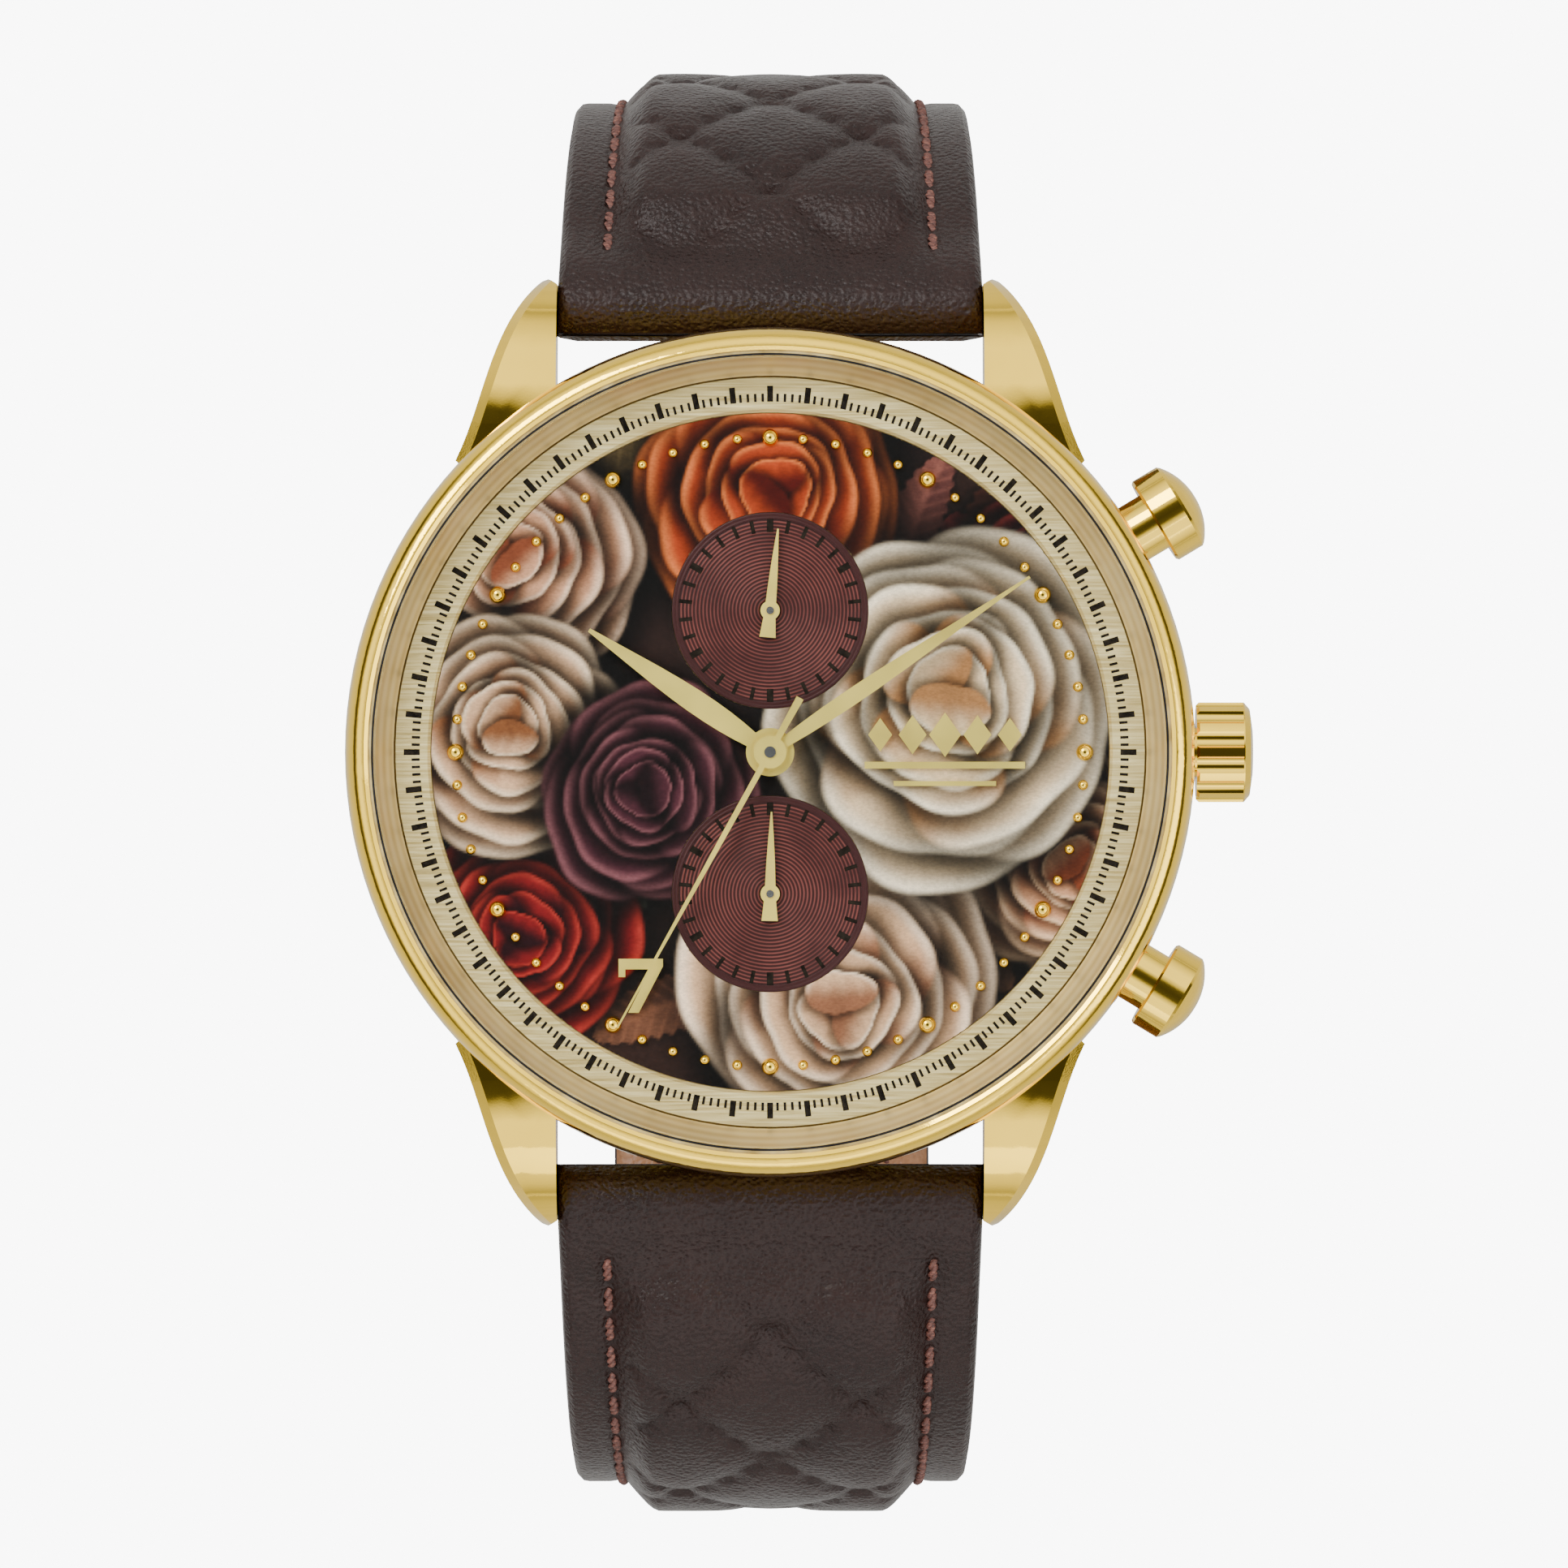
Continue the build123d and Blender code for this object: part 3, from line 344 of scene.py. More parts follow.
def plain(name, dark, light, rough, scale, metallic=0.0, strength=0.1):
    n = Nodes(name)
    cloud = n.noise(scale, 3.0)
    n.set(Base_Color=n.ramp(cloud, [(0.3, dark), (0.7, light)]), Metallic=metallic)
    n.set(Roughness=n.range(cloud, 0.3, 0.7, rough * 0.9, rough * 1.1), Normal=n.bump(cloud, strength, 0.00003))
    return n.material


GOLD = metal("gold_polished", rgb("ffd54a"), 0.06)
SLOT_MATERIALS = {
    "gold_polished": GOLD,
    "champagne_ring": ring_material(),
    "rehaut_gold": rehaut_material(),
    "hand_gold": metal("hand_gold", rgb("f6df74"), 0.42, 0.04, (3000.0, 9000.0, 3000.0), 0.1),
    "crystal_glass": crystal_material(),
    "seal": gasket_material(),
    "black_rubber": plain("black_rubber", (0.012, 0.012, 0.012), (0.03, 0.03, 0.03), 0.7, 900.0),
    "dial_blank": metal("dial_blank", rgb("8c7a52"), 0.4),
    "subdial_brown": subdial_material(),
    "holder_plastic": plain("holder_plastic", (0.5, 0.5, 0.48), (0.62, 0.62, 0.6), 0.5, 400.0),
    "plate_brass": metal("plate_brass", rgb("c9c4b6"), 0.3, 0.05, (200.0, 9000.0, 200.0), 0.15),
    "gear_brass": metal("gear_brass", rgb("d6ac5a"), 0.25),
    "steel": metal("steel", rgb("c4c6c8"), 0.22),
    "jewel_red": plain("jewel_red", rgb("6b0a22"), rgb("b01c44"), 0.1, 800.0),
    "board_green": plain("board_green", rgb("0b3a20"), rgb("155832"), 0.4, 700.0),
    "copper_wire": metal("copper_wire", rgb("b8683c"), 0.3, 0.05, (9000.0, 300.0, 300.0), 0.5),
}
LEATHER = leather_material("strap_leather", rgb("180d0b"), rgb("2b1b18"))
LINING = leather_material("lining_leather", rgb("6b4a33"), rgb("8a6447"), 0.5)
EDGE_PAINT = plain("edge_paint", rgb("1c100e"), rgb("2a1a17"), 0.35, 900.0)
THREAD = thread_material()
INK = plain("black_ink", (0.006, 0.005, 0.004), (0.02, 0.016, 0.012), 0.45, 3000.0)
INK.node_tree.nodes["Principled BSDF"].inputs["Specular IOR Level"].default_value = 0.03
PRINT = print_material()

SPECIAL = {"crystal_gasket": "seal", "dial_emblem": "hand_gold", "numeral_seven": "hand_gold"}
record_slots = {s["node"]: s["material_slot"] for s in frame["record"]["subparts"]}
for node_name, node_object in frame["nodes"].items():
    material = SLOT_MATERIALS.get(SPECIAL.get(node_name, record_slots[node_name]))
    if material:
        node_object.data.materials.clear()
        node_object.data.materials.append(material)


# ------------------------------------------------------------------ mesh helpers

def mesh_object(name, points, faces, materials, smooth=True, indices=None):
    mesh = bpy.data.meshes.new(name)
    mesh.from_pydata([tuple(p) for p in points], [], faces)
    for material in materials:
        mesh.materials.append(material)
    if indices is not None:
        mesh.polygons.foreach_set("material_index", np.asarray(indices, dtype=np.int32))
    mesh.polygons.foreach_set("use_smooth", [smooth] * len(mesh.polygons))
    mesh.validate()
    mesh.update()
    piece = bpy.data.objects.new(name, mesh)
    bpy.context.collection.objects.link(piece)
    return piece


def prisms(name, outlines, z0, z1, material):
    """Thin upright prisms from flat outlines in millimetres, as one piece."""
    points = []
    faces = []
    for outline in outlines:
        base = len(points)
        count = len(outline)
        points += [(x * MM, y * MM, z0 * MM) for x, y in outline]
        points += [(x * MM, y * MM, z1 * MM) for x, y in outline]
        faces.append(list(range(base + count - 1, base - 1, -1)))
        faces.append(list(range(base + count, base + 2 * count)))
        for i in range(count):
            j = (i + 1) % count
            faces.append([base + i, base + j, base + count + j, base + count + i])
    return mesh_object(name, points, faces, [material], smooth=False)


def tick(centre, angle, r0, r1, width_mm):
    """Radial bar on the dial: angle clockwise from 12 o'clock."""
    a = math.radians(angle)
    along = (math.sin(a), math.cos(a))
    side = (math.cos(a) * width_mm / 2, -math.sin(a) * width_mm / 2)
    corners = []
    for r, sign in ((r0, 1), (r1, 1), (r1, -1), (r0, -1)):
        corners.append((centre[0] + along[0] * r + side[0] * sign, centre[1] + along[1] * r + side[1] * sign))
    return corners


def disc(centre, radius, count=24):
    steps = [2 * math.pi * i / count for i in range(count)]
    return [(centre[0] + radius * math.cos(a), centre[1] + radius * math.sin(a)) for a in steps]


# ------------------------------------------------------------------ dial print

PRINT_R = 17.55
SUB_Y = 7.34
SUB_R = 5.1


def smooth(low, high, value):
    t = np.clip((value - low) / (high - low), 0, 1)
    return t * t * (3 - 2 * t)


def over(paint, colour, alpha):
    return paint * (1 - alpha[..., None]) + colour * alpha[..., None]


def waves(x, y, seed, scale):
    """Smooth random field from a few sine waves."""
    rng = np.random.default_rng(seed)
    total = np.zeros_like(x)
    for _ in range(7):
        a = rng.uniform(0, 2 * math.pi)
        f = scale * rng.uniform(0.6, 1.8)
        total += np.sin((x * math.cos(a) + y * math.sin(a)) * f + rng.uniform(0, 6.3))
    return total / 4.0


def petal(paint, x, y, centre, angle, length, breadth, inner, base, rim, seed):
    """One petal growing from centre along angle, with a curled pale rim and a soft shadow beneath."""
    dx = x - centre[0]
    dy = y - centre[1]
    u = dx * math.cos(angle) + dy * math.sin(angle)
    v = -dx * math.sin(angle) + dy * math.cos(angle)
    mid = length * 0.5
    around = np.arctan2(v, u - mid)
    ripple = 1 + 0.05 * np.sin(around * 3 + seed) + 0.015 * np.sin(around * 7 + 2 * seed)
    d = np.sqrt(((u - mid) / (length * 0.5)) ** 2 + (v / (breadth * 0.5)) ** 2) / ripple
    shadow = (1 - smooth(1.0, 1.5, d)) * 0.72
    paint = paint * (1 - shadow[..., None])
    mask = 1 - smooth(0.95, 1.03, d)
    t = np.clip(u / length, 0, 1)
    veins = 0.03 * np.sin(v / breadth * 26 + 3 * np.sin(u * 1.3 + seed)) * smooth(0.1, 0.7, t)
    tone = smooth(0.25, 0.95, t + veins) ** 1.2
    colour = inner + (base - inner) * tone[..., None]
    edge = smooth(0.8, 0.97, d) * smooth(0.4, 0.85, t)
    colour = colour + (rim - colour) * (edge * 0.85)[..., None]
    crease = np.exp(-((v / breadth) ** 2) * 60) * 0.18 * (1 - t)
    colour = colour * (1 - crease[..., None])
    return over(paint, colour, mask)


def rose(paint, x, y, centre, radius, inner, base, rim, turn, seed):
    """Layered bloom: rings of petals from the outside in, ending in a tight bud."""
    rng = np.random.default_rng(seed)
    inner, base, rim = (np.array(rgb(c)) for c in (inner, base, rim))
    rings = [(1.0, 5, 1.25), (0.84, 5, 1.1), (0.66, 4, 0.95), (0.5, 4, 0.72), (0.36, 3, 0.56), (0.24, 3, 0.4)]
    for index, (reach, count, breadth) in enumerate(rings):
        lean = 0.12 * index * radius / 6
        for k in range(count):
            a = turn + index * 2.4 + 2 * math.pi * k / count + rng.uniform(-0.2, 0.2)
            size = radius * reach * rng.uniform(0.9, 1.08)
            start = (centre[0] + lean * math.cos(turn) - 0.16 * size * math.cos(a),
                     centre[1] + lean * math.sin(turn) - 0.16 * size * math.sin(a))
            shade = rng.uniform(0.82, 1.12) * (1 - 0.05 * index)
            paint = petal(paint, x, y, start, a, size * 1.1, radius * breadth * 1.1, inner * shade, base * shade,
                          rim * min(shade, 1.05), seed + 10 * index + k)
    return paint


def leaf(paint, x, y, root, angle, length, breadth, dark, light, seed):
    """Serrated leaf with a pale midrib and side veins."""
    dark, light = np.array(rgb(dark)), np.array(rgb(light))
    dx = x - root[0]
    dy = y - root[1]
    u = (dx * math.cos(angle) + dy * math.sin(angle)) / length
    v = (-dx * math.sin(angle) + dy * math.cos(angle)) / (breadth / 2)
    v = v + 0.25 * np.sin(u * 3.0) * (seed % 2 * 2 - 1)
    envelope = np.sqrt(np.clip(np.sin(np.clip(u, 0, 1) * math.pi), 0, 1)) * (1 - 0.25 * np.clip(u, 0, 1))
    serration = 1 + 0.08 * np.sin(u * 60)
    edge = np.abs(v) / np.maximum(envelope * serration, 1e-3)
    inside = (u > 0) & (u < 1)
    shadow = (1 - smooth(1.0, 1.4, edge)) * 0.45 * inside
    paint = paint * (1 - shadow[..., None])
    mask = (1 - smooth(0.92, 1.03, edge)) * inside
    veins = np.abs(np.sin((u * 9 - np.abs(v) * 1.6) * math.pi)) ** 8 * 0.35
    rib = np.exp(-(v * 9) ** 2) * 0.6
    tone = np.clip(0.25 + 0.45 * (v > 0) + veins + rib + 0.15 * waves(x, y, seed, 1.5), 0, 1)
    colour = dark + (light - dark) * tone[..., None]
    return over(paint, colour, mask)


def painted_dial(x, y):
    """Generic painted bouquet on a near-black ground."""
    ground = np.clip(0.35 + 0.3 * waves(x, y, 3, 0.5), 0, 1)[..., None]
    paint = np.array(rgb("120a0a")) + (np.array(rgb("33201a")) - np.array(rgb("120a0a"))) * ground
    leaves = [
        ((9.0, 12.0), -0.6, 8.0, 4.4, "3a0f12", "7b2a28", 1),
        ((12.5, 14.5), -2.0, 7.5, 4.0, "2c1512", "6a3a2a", 2),
        ((-5.0, -4.5), -2.3, 6.5, 4.0, "3c4236", "7d846c", 3),
        ((-6.5, -2.8), 3.5, 7.0, 4.0, "2c1c14", "6d4c36", 4),
        ((7.5, -6.0), -0.9, 8.0, 4.6, "30201a", "7a5640", 5),
        ((14.5, 6.5), 0.8, 6.0, 3.6, "27301f", "5b6545", 6),
        ((-9.5, 14.0), 0.5, 6.0, 3.2, "2b2116", "6d5a38", 7),
        ((-15.5, -3.0), -2.0, 6.0, 3.4, "1f2a1c", "56603f", 8),
        ((-2.5, -12.5), -2.8, 7.0, 3.4, "2d1b15", "6b4431", 9),
        ((7.0, 9.5), 1.2, 6.5, 3.0, "35191a", "70423a", 10),
    ]
    for root, angle, length, breadth, dark, light, seed in leaves:
        paint = leaf(paint, x, y, root, angle, length, breadth, dark, light, seed)
    roses = [
        ((14.8, 8.8), 5.6, "1c0508", "4c1216", "7d2a28", 0.8, 10),
        ((-12.6, -9.2), 6.2, "20040a", "7a1418", "a83028", 3.9, 14),
        ((15.6, -5.4), 6.8, "7a3a22", "cc9570", "ecc6a0", 5.0, 16),
        ((-0.4, 13.2), 7.6, "4a0c06", "b0401a", "e0793e", 0.4, 11),
        ((-13.2, 9.6), 7.4, "7d4028", "d39c78", "f0ceb0", 2.0, 12),
        ((-13.8, 0.8), 6.6, "84502e", "dcb08a", "f2d8b8", 1.1, 15),
        ((-6.0, -2.2), 6.0, "14060a", "45202a", "7a4a50", 2.7, 18),
        ((3.9, -12.4), 8.6, "8a5a40", "e0b48c", "f6dcc0", 4.4, 17),
        ((8.8, 2.4), 9.6, "a9774a", "ecd0a8", "f8ead0", 0.9, 19),
    ]
    for centre, radius, inner, base, rim, turn, seed in roses:
        paint = rose(paint, x, y, centre, radius, inner, base, rim, turn, seed)
    return paint


def add_dial_print():
    radius = PRINT_R
    cells = 300
    step = 2 * radius / cells
    axis = -radius + step * np.arange(cells + 1)
    x, y = np.meshgrid(axis, axis, indexing="ij")
    r = np.hypot(x, y)
    sub = np.minimum(np.hypot(x, y - SUB_Y), np.hypot(x, y + SUB_Y))
    keep = (r <= radius + step) & (sub >= SUB_R - step) & (r >= 0.9 - step)
    scale = np.where(r > radius, radius / np.maximum(r, 1e-6), 1.0)
    x, y = x * scale, y * scale
    for centre in (SUB_Y, -SUB_Y):
        d = np.hypot(x, y - centre)
        near = d < SUB_R
        factor = np.where(near, SUB_R / np.maximum(d, 1e-6), 1.0)
        x, y = x * factor, centre + (y - centre) * factor
    index = -np.ones(x.shape, dtype=int)
    index[keep] = np.arange(keep.sum())
    top = np.column_stack([x[keep] * MM, y[keep] * MM, np.full(keep.sum(), 6.652 * MM)])
    quads = []
    for i in range(cells):
        a, b, c, d = index[i, :-1], index[i + 1, :-1], index[i + 1, 1:], index[i, 1:]
        ok = (a >= 0) & (b >= 0) & (c >= 0) & (d >= 0)
        quads.append(np.column_stack([a[ok], b[ok], c[ok], d[ok]]))
    faces = np.concatenate(quads).tolist()
    piece = mesh_object("rose_dial", top, faces, [PRINT])
    paint = painted_dial(x[keep], y[keep])
    colours = np.column_stack([np.clip(paint, 0, 1), np.ones(len(paint))]).astype(np.float32)
    layer = piece.data.color_attributes.new("paint", "FLOAT_COLOR", "POINT")
    layer.data.foreach_set("color", colours.ravel())
    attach(piece, "case")
    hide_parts("dial_print")


def add_dial_marks():
    ring = [tick((0, 0), 6 * i, 18.15, 18.97, 0.3) for i in range(60)]
    ring += [tick((0, 0), 1.2 * i, 18.15, 18.57, 0.13) for i in range(300) if i % 5]
    marks = prisms("minute_marks", ring, 6.9, 6.915, INK)
    sub = []
    for centre in ((0, SUB_Y), (0, -SUB_Y)):
        for i in range(30):
            sub.append(tick(centre, 12 * i, 4.06, 4.74, 0.34 if i % 5 == 0 else 0.2))
    sub_marks = prisms("subdial_marks", sub, 6.6, 6.615, INK)
    for piece in (marks, sub_marks):
        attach(piece, "case")
    pins = [("chrono_pin", "chrono_seconds", (0, 0), 0.3, 8.1, 8.2),
            ("counter_pin", "minute_counter", (0, SUB_Y), 0.2, 7.02, 7.12),
            ("seconds_pin", "small_seconds", (0, -SUB_Y), 0.2, 7.02, 7.12)]
    for name, body, centre, radius, z0, z1 in pins:
        pin = prisms(name, [disc(centre, radius)], z0, z1, SLOT_MATERIALS["steel"])
        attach(pin, body)


# ------------------------------------------------------------------ strap

FLEX_12 = 25.8 * math.radians(55)
FLEX_6 = 20.4 * math.radians(75)
LEAN_12 = 60.0 * math.radians(7)
LENGTH_12 = 74.0
LENGTH_6 = 115.0
HALVES = {
    "12": ((23.2, 1.8, math.radians(-35)), [(FLEX_12, -25.8), (LEAN_12, -60.0), (LENGTH_12 - FLEX_12 - LEAN_12, 0)], 1),
    "6": ((-23.2, 1.8, math.radians(195)), [(FLEX_6, 20.4), (41.0, 0), (9.0 * math.pi, 18.0), (60.0, 0)], -1),
}


def centreline(half, s):
    """Point, heading and outward side of a strap half at arc length s, in millimetres."""
    (y, z, h), pieces, side = HALVES[half]
    if s < 0:
        return y + s * math.cos(h), z + s * math.sin(h), h, side
    for length, radius in pieces:
        d = min(s, length)
        if radius == 0:
            y += d * math.cos(h)
            z += d * math.sin(h)
        else:
            turn = d / radius
            y += radius * (math.sin(h + turn) - math.sin(h))
            z -= radius * (math.cos(h + turn) - math.cos(h))
            h += turn
        s -= d
        if s <= 1e-9:
            break
    return y, z, h, side


def place(half, s, x, up):
    """World point from arc length, width position and height over the centreline, in metres."""
    y, z, h, side = centreline(half, s)
    return (x * MM, (y - side * up * math.sin(h)) * MM, (z + side * up * math.cos(h)) * MM)


BORDER_UP = 0.8
SEAM_IN = 2.4
ROLL_R = 1.75
TIP_R = 9.05
STITCH = 1.5


def strap_width(s):
    return 22.0 + (18.1 - 22.0) * min(1.0, max(0.0, s) / 70.0)


def under_height(s):
    if s < 34:
        return -1.6
    return -1.6 + 0.4 * min(1.0, (s - 34) / 26)


def step_value(low, high, value):
    t = min(1.0, max(0.0, (value - low) / (high - low)))
    return t * t * (3 - 2 * t)


def top_height(s, x, pad_end):
    """Height of the show face: flat stitched border, padded middle, quilted diamonds."""
    half_width = strap_width(s) / 2
    border = BORDER_UP
    roll = math.sqrt(max(0.0, ROLL_R ** 2 - min(s, 0.0) ** 2))
    lift = border + (roll - border) * (1 - step_value(0.5, 5.5, s))
    inside = half_width - SEAM_IN - abs(x)
    pad = 1.6 * step_value(0.0, 2.0, inside) ** 0.8 * step_value(2.0, 6.0, s)
    pad *= 1 - step_value(pad_end - 22, pad_end, s)
    trench = -0.16 * math.exp(-(inside / 0.35) ** 2) * step_value(2.0, 3.5, s)
    quilt = 0.0
    if inside > 0.3 and 1.5 < s < pad_end - 14:
        a = x / 4.75
        b = (s - 6.8) / 4.6
        for line in (a + b, a - b):
            off = abs((line + 1) % 2 - 1) * 3.3
            along = 0.6 + 0.4 * math.cos(2 * math.pi * (s / 1.3))
            quilt -= 0.28 * along * math.exp(-(off / 0.30) ** 2)
            quilt -= 0.20 * math.exp(-(off / 1.1) ** 2)
        quilt *= step_value(0.3, 1.6, inside) * step_value(2.0, 4.5, s)
        quilt *= 1 - step_value(pad_end - 24, pad_end - 14, s)
    return lift + pad + trench + quilt


def add_strap(half, length, pad_end, tip_round):
    """One strap half as a closed skin of rings: show face, painted edges and lining."""
    columns = 72
    stations = np.concatenate([np.linspace(-1.74, 0, 8), np.arange(0.35, length, 0.35), [length]])
    points = []
    ring_size = 0
    for s in stations:
        half_width = strap_width(s) / 2
        if tip_round and s > length - TIP_R:
            half_width = max(0.3, math.sqrt(max(0.0, TIP_R ** 2 - (s - length + TIP_R) ** 2)))
        if not tip_round and s > length - 0.01:
            half_width -= 0.2
        low = under_height(s) if s >= 0 else -math.sqrt(max(0.0, ROLL_R ** 2 - s ** 2))
        low = low + (-ROLL_R - low) * (1 - step_value(0, 4, s)) if s >= 0 else low
        thin = min(1.0, half_width / 3.0)
        ring = []
        for c in range(columns + 1):
            x = -half_width + 2 * half_width * c / columns
            up = top_height(s, x, pad_end)
            edge = max(0.0, 1 - (half_width - abs(x)) / 0.45)
            ring.append((x, up - 0.35 * edge * edge))
        high = ring[-1][1]
        bow = 0.12 * thin
        ring.append((half_width + bow, high * 0.65 + low * 0.35))
        ring.append((half_width + bow, high * 0.3 + low * 0.7))
        for c in range(25):
            x = half_width - 2 * half_width * c / 24
            edge = max(0.0, 1 - (half_width - abs(x)) / 0.45)
            ring.append((x, low + 0.3 * edge * edge))
        ring.append((-half_width - bow, high * 0.3 + low * 0.7))
        ring.append((-half_width - bow, high * 0.65 + low * 0.35))
        ring_size = len(ring)
        points += [place(half, s, x, up) for x, up in ring]
    faces = []
    indices = []
    for i in range(len(stations) - 1):
        for c in range(ring_size):
            d = (c + 1) % ring_size
            a = i * ring_size
            b = a + ring_size
            faces.append([a + c, b + c, b + d, a + d])
            if c < columns or stations[i] < 5.0:
                indices.append(0)
            elif c < columns + 3 or c >= ring_size - 3:
                indices.append(1)
            else:
                indices.append(2)
    last = (len(stations) - 1) * ring_size
    faces.append(list(range(ring_size)))
    faces.append(list(range(last + ring_size - 1, last - 1, -1)))
    indices += [1, 1]
    piece = mesh_object("strap_" + half, points, faces, [LEATHER, EDGE_PAINT, LINING], True, indices)
    bpy.context.view_layer.objects.active = piece
    piece.select_set(True)
    bpy.ops.object.mode_set(mode="EDIT")
    bpy.ops.mesh.select_all(action="SELECT")
    bpy.ops.mesh.normals_make_consistent(inside=False)
    bpy.ops.object.mode_set(mode="OBJECT")
    piece.select_set(False)
    return piece


def cut(piece, cutters):
    """Cuts the given solids out of piece."""
    for cutter in cutters:
        modifier = piece.modifiers.new("cut", "BOOLEAN")
        modifier.operation = "DIFFERENCE"
        modifier.solver = "EXACT"
        modifier.object = cutter
        bpy.context.view_layer.objects.active = piece
        bpy.ops.object.modifier_apply(modifier=modifier.name)
        bpy.data.objects.remove(cutter, do_unlink=True)


def cylinder_between(a, b, radius, count=20):
    """Capped cylinder between two points in metres."""
    a, b = Vector(a), Vector(b)
    frame_axis = (b - a).to_track_quat("Z", "Y").to_matrix()
    points = []
    for end in (a, b):
        for i in range(count):
            t = 2 * math.pi * i / count
            points.append(end + frame_axis @ Vector((radius * math.cos(t), radius * math.sin(t), 0)))
    faces = [[i, (i + 1) % count, count + (i + 1) % count, count + i] for i in range(count)]
    faces += [list(range(count - 1, -1, -1)), list(range(count, 2 * count))]
    return mesh_object("cylinder", points, faces, [EDGE_PAINT], smooth=False)


def thread_run(half, rows, under):
    """Two-ply stitches along the given rows of (s, x) positions, on the show face or the lining."""
    points = []
    faces = []
    sides = 8
    for s0, x0, s1, x1, pad_end in rows:
        for ply in range(2):
            base = len(points)
            steps = 11
            for i in range(steps):
                t = i / (steps - 1)
                s = s0 + (s1 - s0) * t
                x = x0 + (x1 - x0) * t
                sink = 0.34 * (2 * t - 1) ** 4
                twist = 2 * math.pi * (1.5 * t + 0.5 * ply)
                off = 0.1
                surface = under_height(s) if under else top_height(s, x, pad_end)
                sign = -1 if under else 1
                up = surface + sign * ((0.03 if under else 0.12) - sink + off * math.sin(twist))
                centre = Vector(place(half, s, x + off * math.cos(twist), up))
                ahead = Vector(place(half, s + 0.05, x, up)) - Vector(place(half, s, x, up))
                basis = ahead.to_track_quat("Z", "Y").to_matrix()
                radius = 0.165 * MM
                for k in range(sides):
                    a = 2 * math.pi * k / sides
                    points.append(centre + basis @ Vector((radius * math.cos(a), radius * math.sin(a), 0)))
            for i in range(steps - 1):
                for k in range(sides):
                    j = (k + 1) % sides
                    a = base + i * sides
                    faces.append([a + k, a + j, a + sides + j, a + sides + k])
            end = base + (steps - 1) * sides
            faces.append(list(range(base + sides - 1, base - 1, -1)))
            faces.append(list(range(end, end + sides)))
    return points, faces


def add_stitches(half, pad_end, start, stop):
    rows = []
    pitch = 1.86
    count = int((stop - start) / pitch)
    for i in range(count):
        s0 = start + i * pitch
        for sign in (-1, 1):
            s1 = s0 + STITCH
            x0, x1 = (sign * (strap_width(s) / 2 - SEAM_IN) for s in (s0, s1))
            rows.append((s0, x0, s1, x1, pad_end))
    points, faces = thread_run(half, rows, False)
    more, extra = thread_run(half, rows, True)
    shift = len(points)
    points += more
    faces += [[i + shift for i in face] for face in extra]
    return mesh_object("stitches_" + half, points, faces, [THREAD])


def blend_half(piece, half, flex):
    start = place(half, flex - 5.0, 0, 0)
    end = place(half, flex + 5.0, 0, 0)
    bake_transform(piece)


def add_keeper(name, s, length, body):
    """Leather loop of rounded section around the strap."""
    half_in = strap_width(s - length) / 2 + 0.3
    low, high = -1.75, 3.5
    wall = 0.9
    corners = []
    radius = 0.9
    centres = [(half_in - radius, high - radius, 0), (-half_in + radius, high - radius, 90),
               (-half_in + radius, low + radius, 180), (half_in - radius, low + radius, 270)]
    for cx, cz, start in centres:
        for i in range(7):
            a = math.radians(start + 15 * i)
            corners.append((cx, cz, math.cos(a), math.sin(a)))
    thick = 1.1
    profile = [(0.0, -0.5), (0.0, 0.5), (0.18, 0.5), (0.6, 0.46), (0.95, 0.4), (thick, 0.28), (thick, -0.28),
               (0.95, -0.4), (0.6, -0.46), (0.18, -0.5)]
    points = []
    for cx, cz, nx, nz in corners:
        for out, along in profile:
            r = radius + out * wall / thick
            points.append(place("12", s + along * length, cx + nx * r, cz + nz * r))
    count = len(corners)
    size = len(profile)
    faces = []
    for i in range(count):
        j = (i + 1) % count
        for k in range(size):
            m = (k + 1) % size
            faces.append([i * size + k, j * size + k, j * size + m, i * size + m])
    piece = mesh_object(name + "_leather", points, faces, [LEATHER])
    bevel = piece.modifiers.new("soften", "SUBSURF")
    bevel.levels = 1
    bevel.render_levels = 1
    bpy.context.view_layer.objects.active = piece
    bpy.ops.object.modifier_apply(modifier=bevel.name)
    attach(piece, body)
    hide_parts(name)


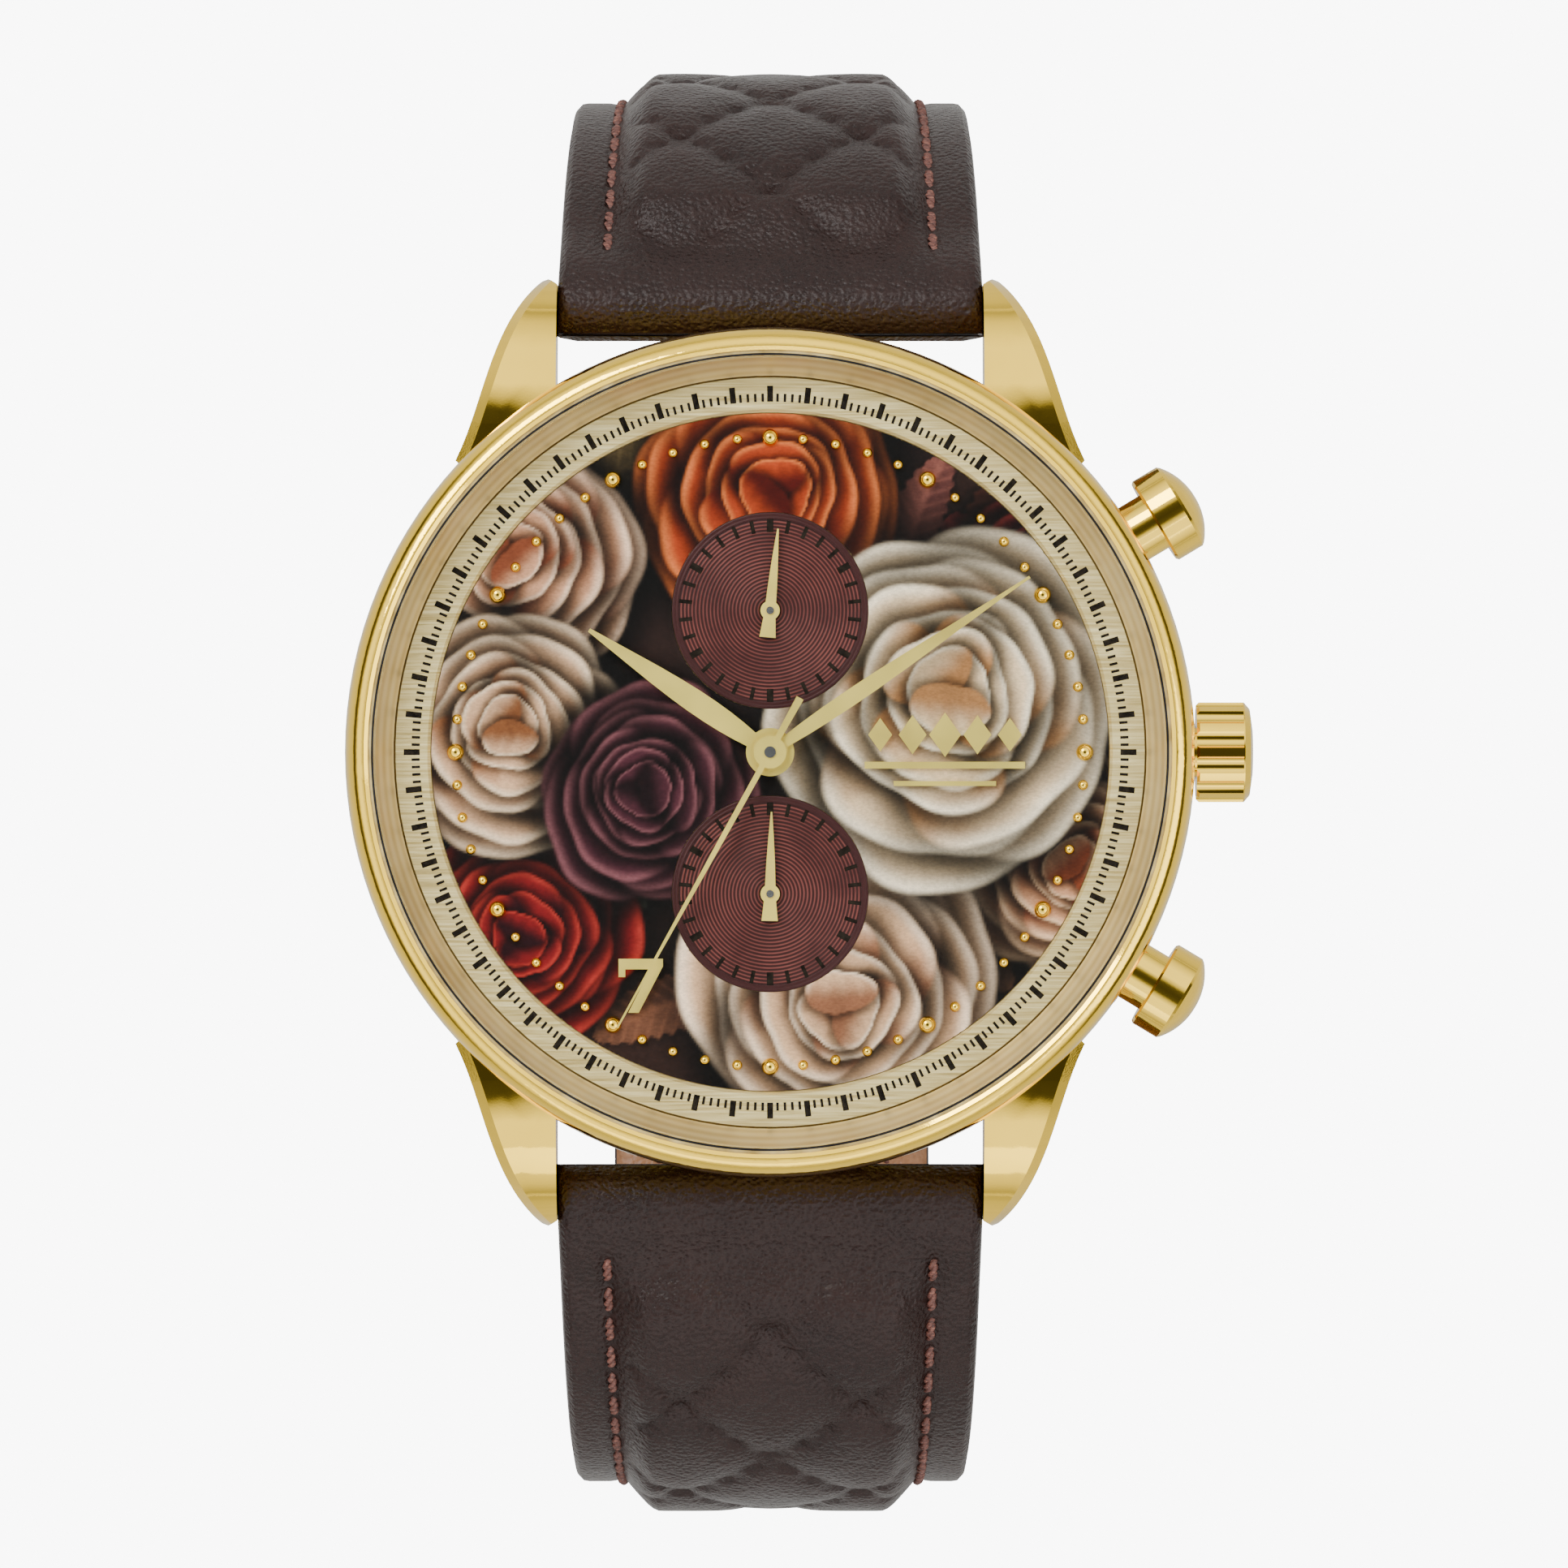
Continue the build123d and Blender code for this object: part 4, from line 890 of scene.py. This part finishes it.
def add_straps():
    halves = (("12", LENGTH_12 - 0.2, 62.0, FLEX_12, False), ("6", LENGTH_6, 66.0, FLEX_6, True))
    for half, length, pad_end, flex, tip in halves:
        strap = add_strap(half, length, pad_end, tip)
        if half == "6":
            spots = [65.0 + 6.5 * i for i in range(7)]
            holes = [cylinder_between(place(half, s, 0, -4), place(half, s, 0, 4), 0.9 * MM) for s in spots]
            cut(strap, holes)
        else:
            slot_cut = bpy.data.objects.new("slot", bpy.data.meshes.new("slot"))
            ends = (LENGTH_12 - 4.4, LENGTH_12 + 3)
            corners = [place(half, s, x, up) for s in ends for x in (-1.35, 1.35) for up in (-4, 4)]
            sides = [(0, 1, 3, 2), (4, 6, 7, 5), (0, 4, 5, 1), (2, 3, 7, 6), (0, 2, 6, 4), (1, 5, 7, 3)]
            slot_cut.data.from_pydata(corners, [], sides)
            bpy.context.collection.objects.link(slot_cut)
            cut(strap, [slot_cut])
        blend_half(strap, half, flex)
        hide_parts("strap_" + half + "_root", "strap_" + half + "_end")
        stop = length - 6.0 if tip else length - 8.0
        stitches = add_stitches(half, pad_end, 2.9, stop - (6.0 if tip else 0.0))
        blend_half(stitches, half, flex)
    add_keeper("fixed_keeper", 66.0, 5.5, "strap_12_end")
    add_keeper("free_keeper", 52.0, 6.0, "free_keeper")


# ------------------------------------------------------------------ floor, and the build

def add_floor():
    """Plain pale floor under the strap ends: bright to the camera, mid grey to the light on the object."""
    paper = Nodes("paper")
    paper_tone = paper.noise(30.0, 2.0)
    paper.set(Base_Color=paper.ramp(paper_tone, [(0.3, (0.42, 0.42, 0.41)), (0.7, (0.46, 0.46, 0.45))]), Roughness=0.8)
    seen = paper.add("ShaderNodeLightPath").outputs["Is Camera Ray"]
    glow = paper.add("ShaderNodeEmission", {"Color": (1, 1, 1, 1), "Strength": 9.0})
    paper_mix = paper.add("ShaderNodeMixShader", {0: seen, 1: paper.bsdf.outputs[0], 2: glow.outputs[0]})
    paper.tree.links.new(paper_mix.outputs[0], paper.out.inputs["Surface"])
    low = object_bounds()[0][2] - 0.0003
    corners = [(-3, -3, low), (3, -3, low), (3, 3, low), (-3, 3, low)]
    mesh_object("floor", corners, [[0, 1, 2, 3]], [paper.material], smooth=False)


add_dial_print()
add_dial_marks()
add_straps()
add_floor()
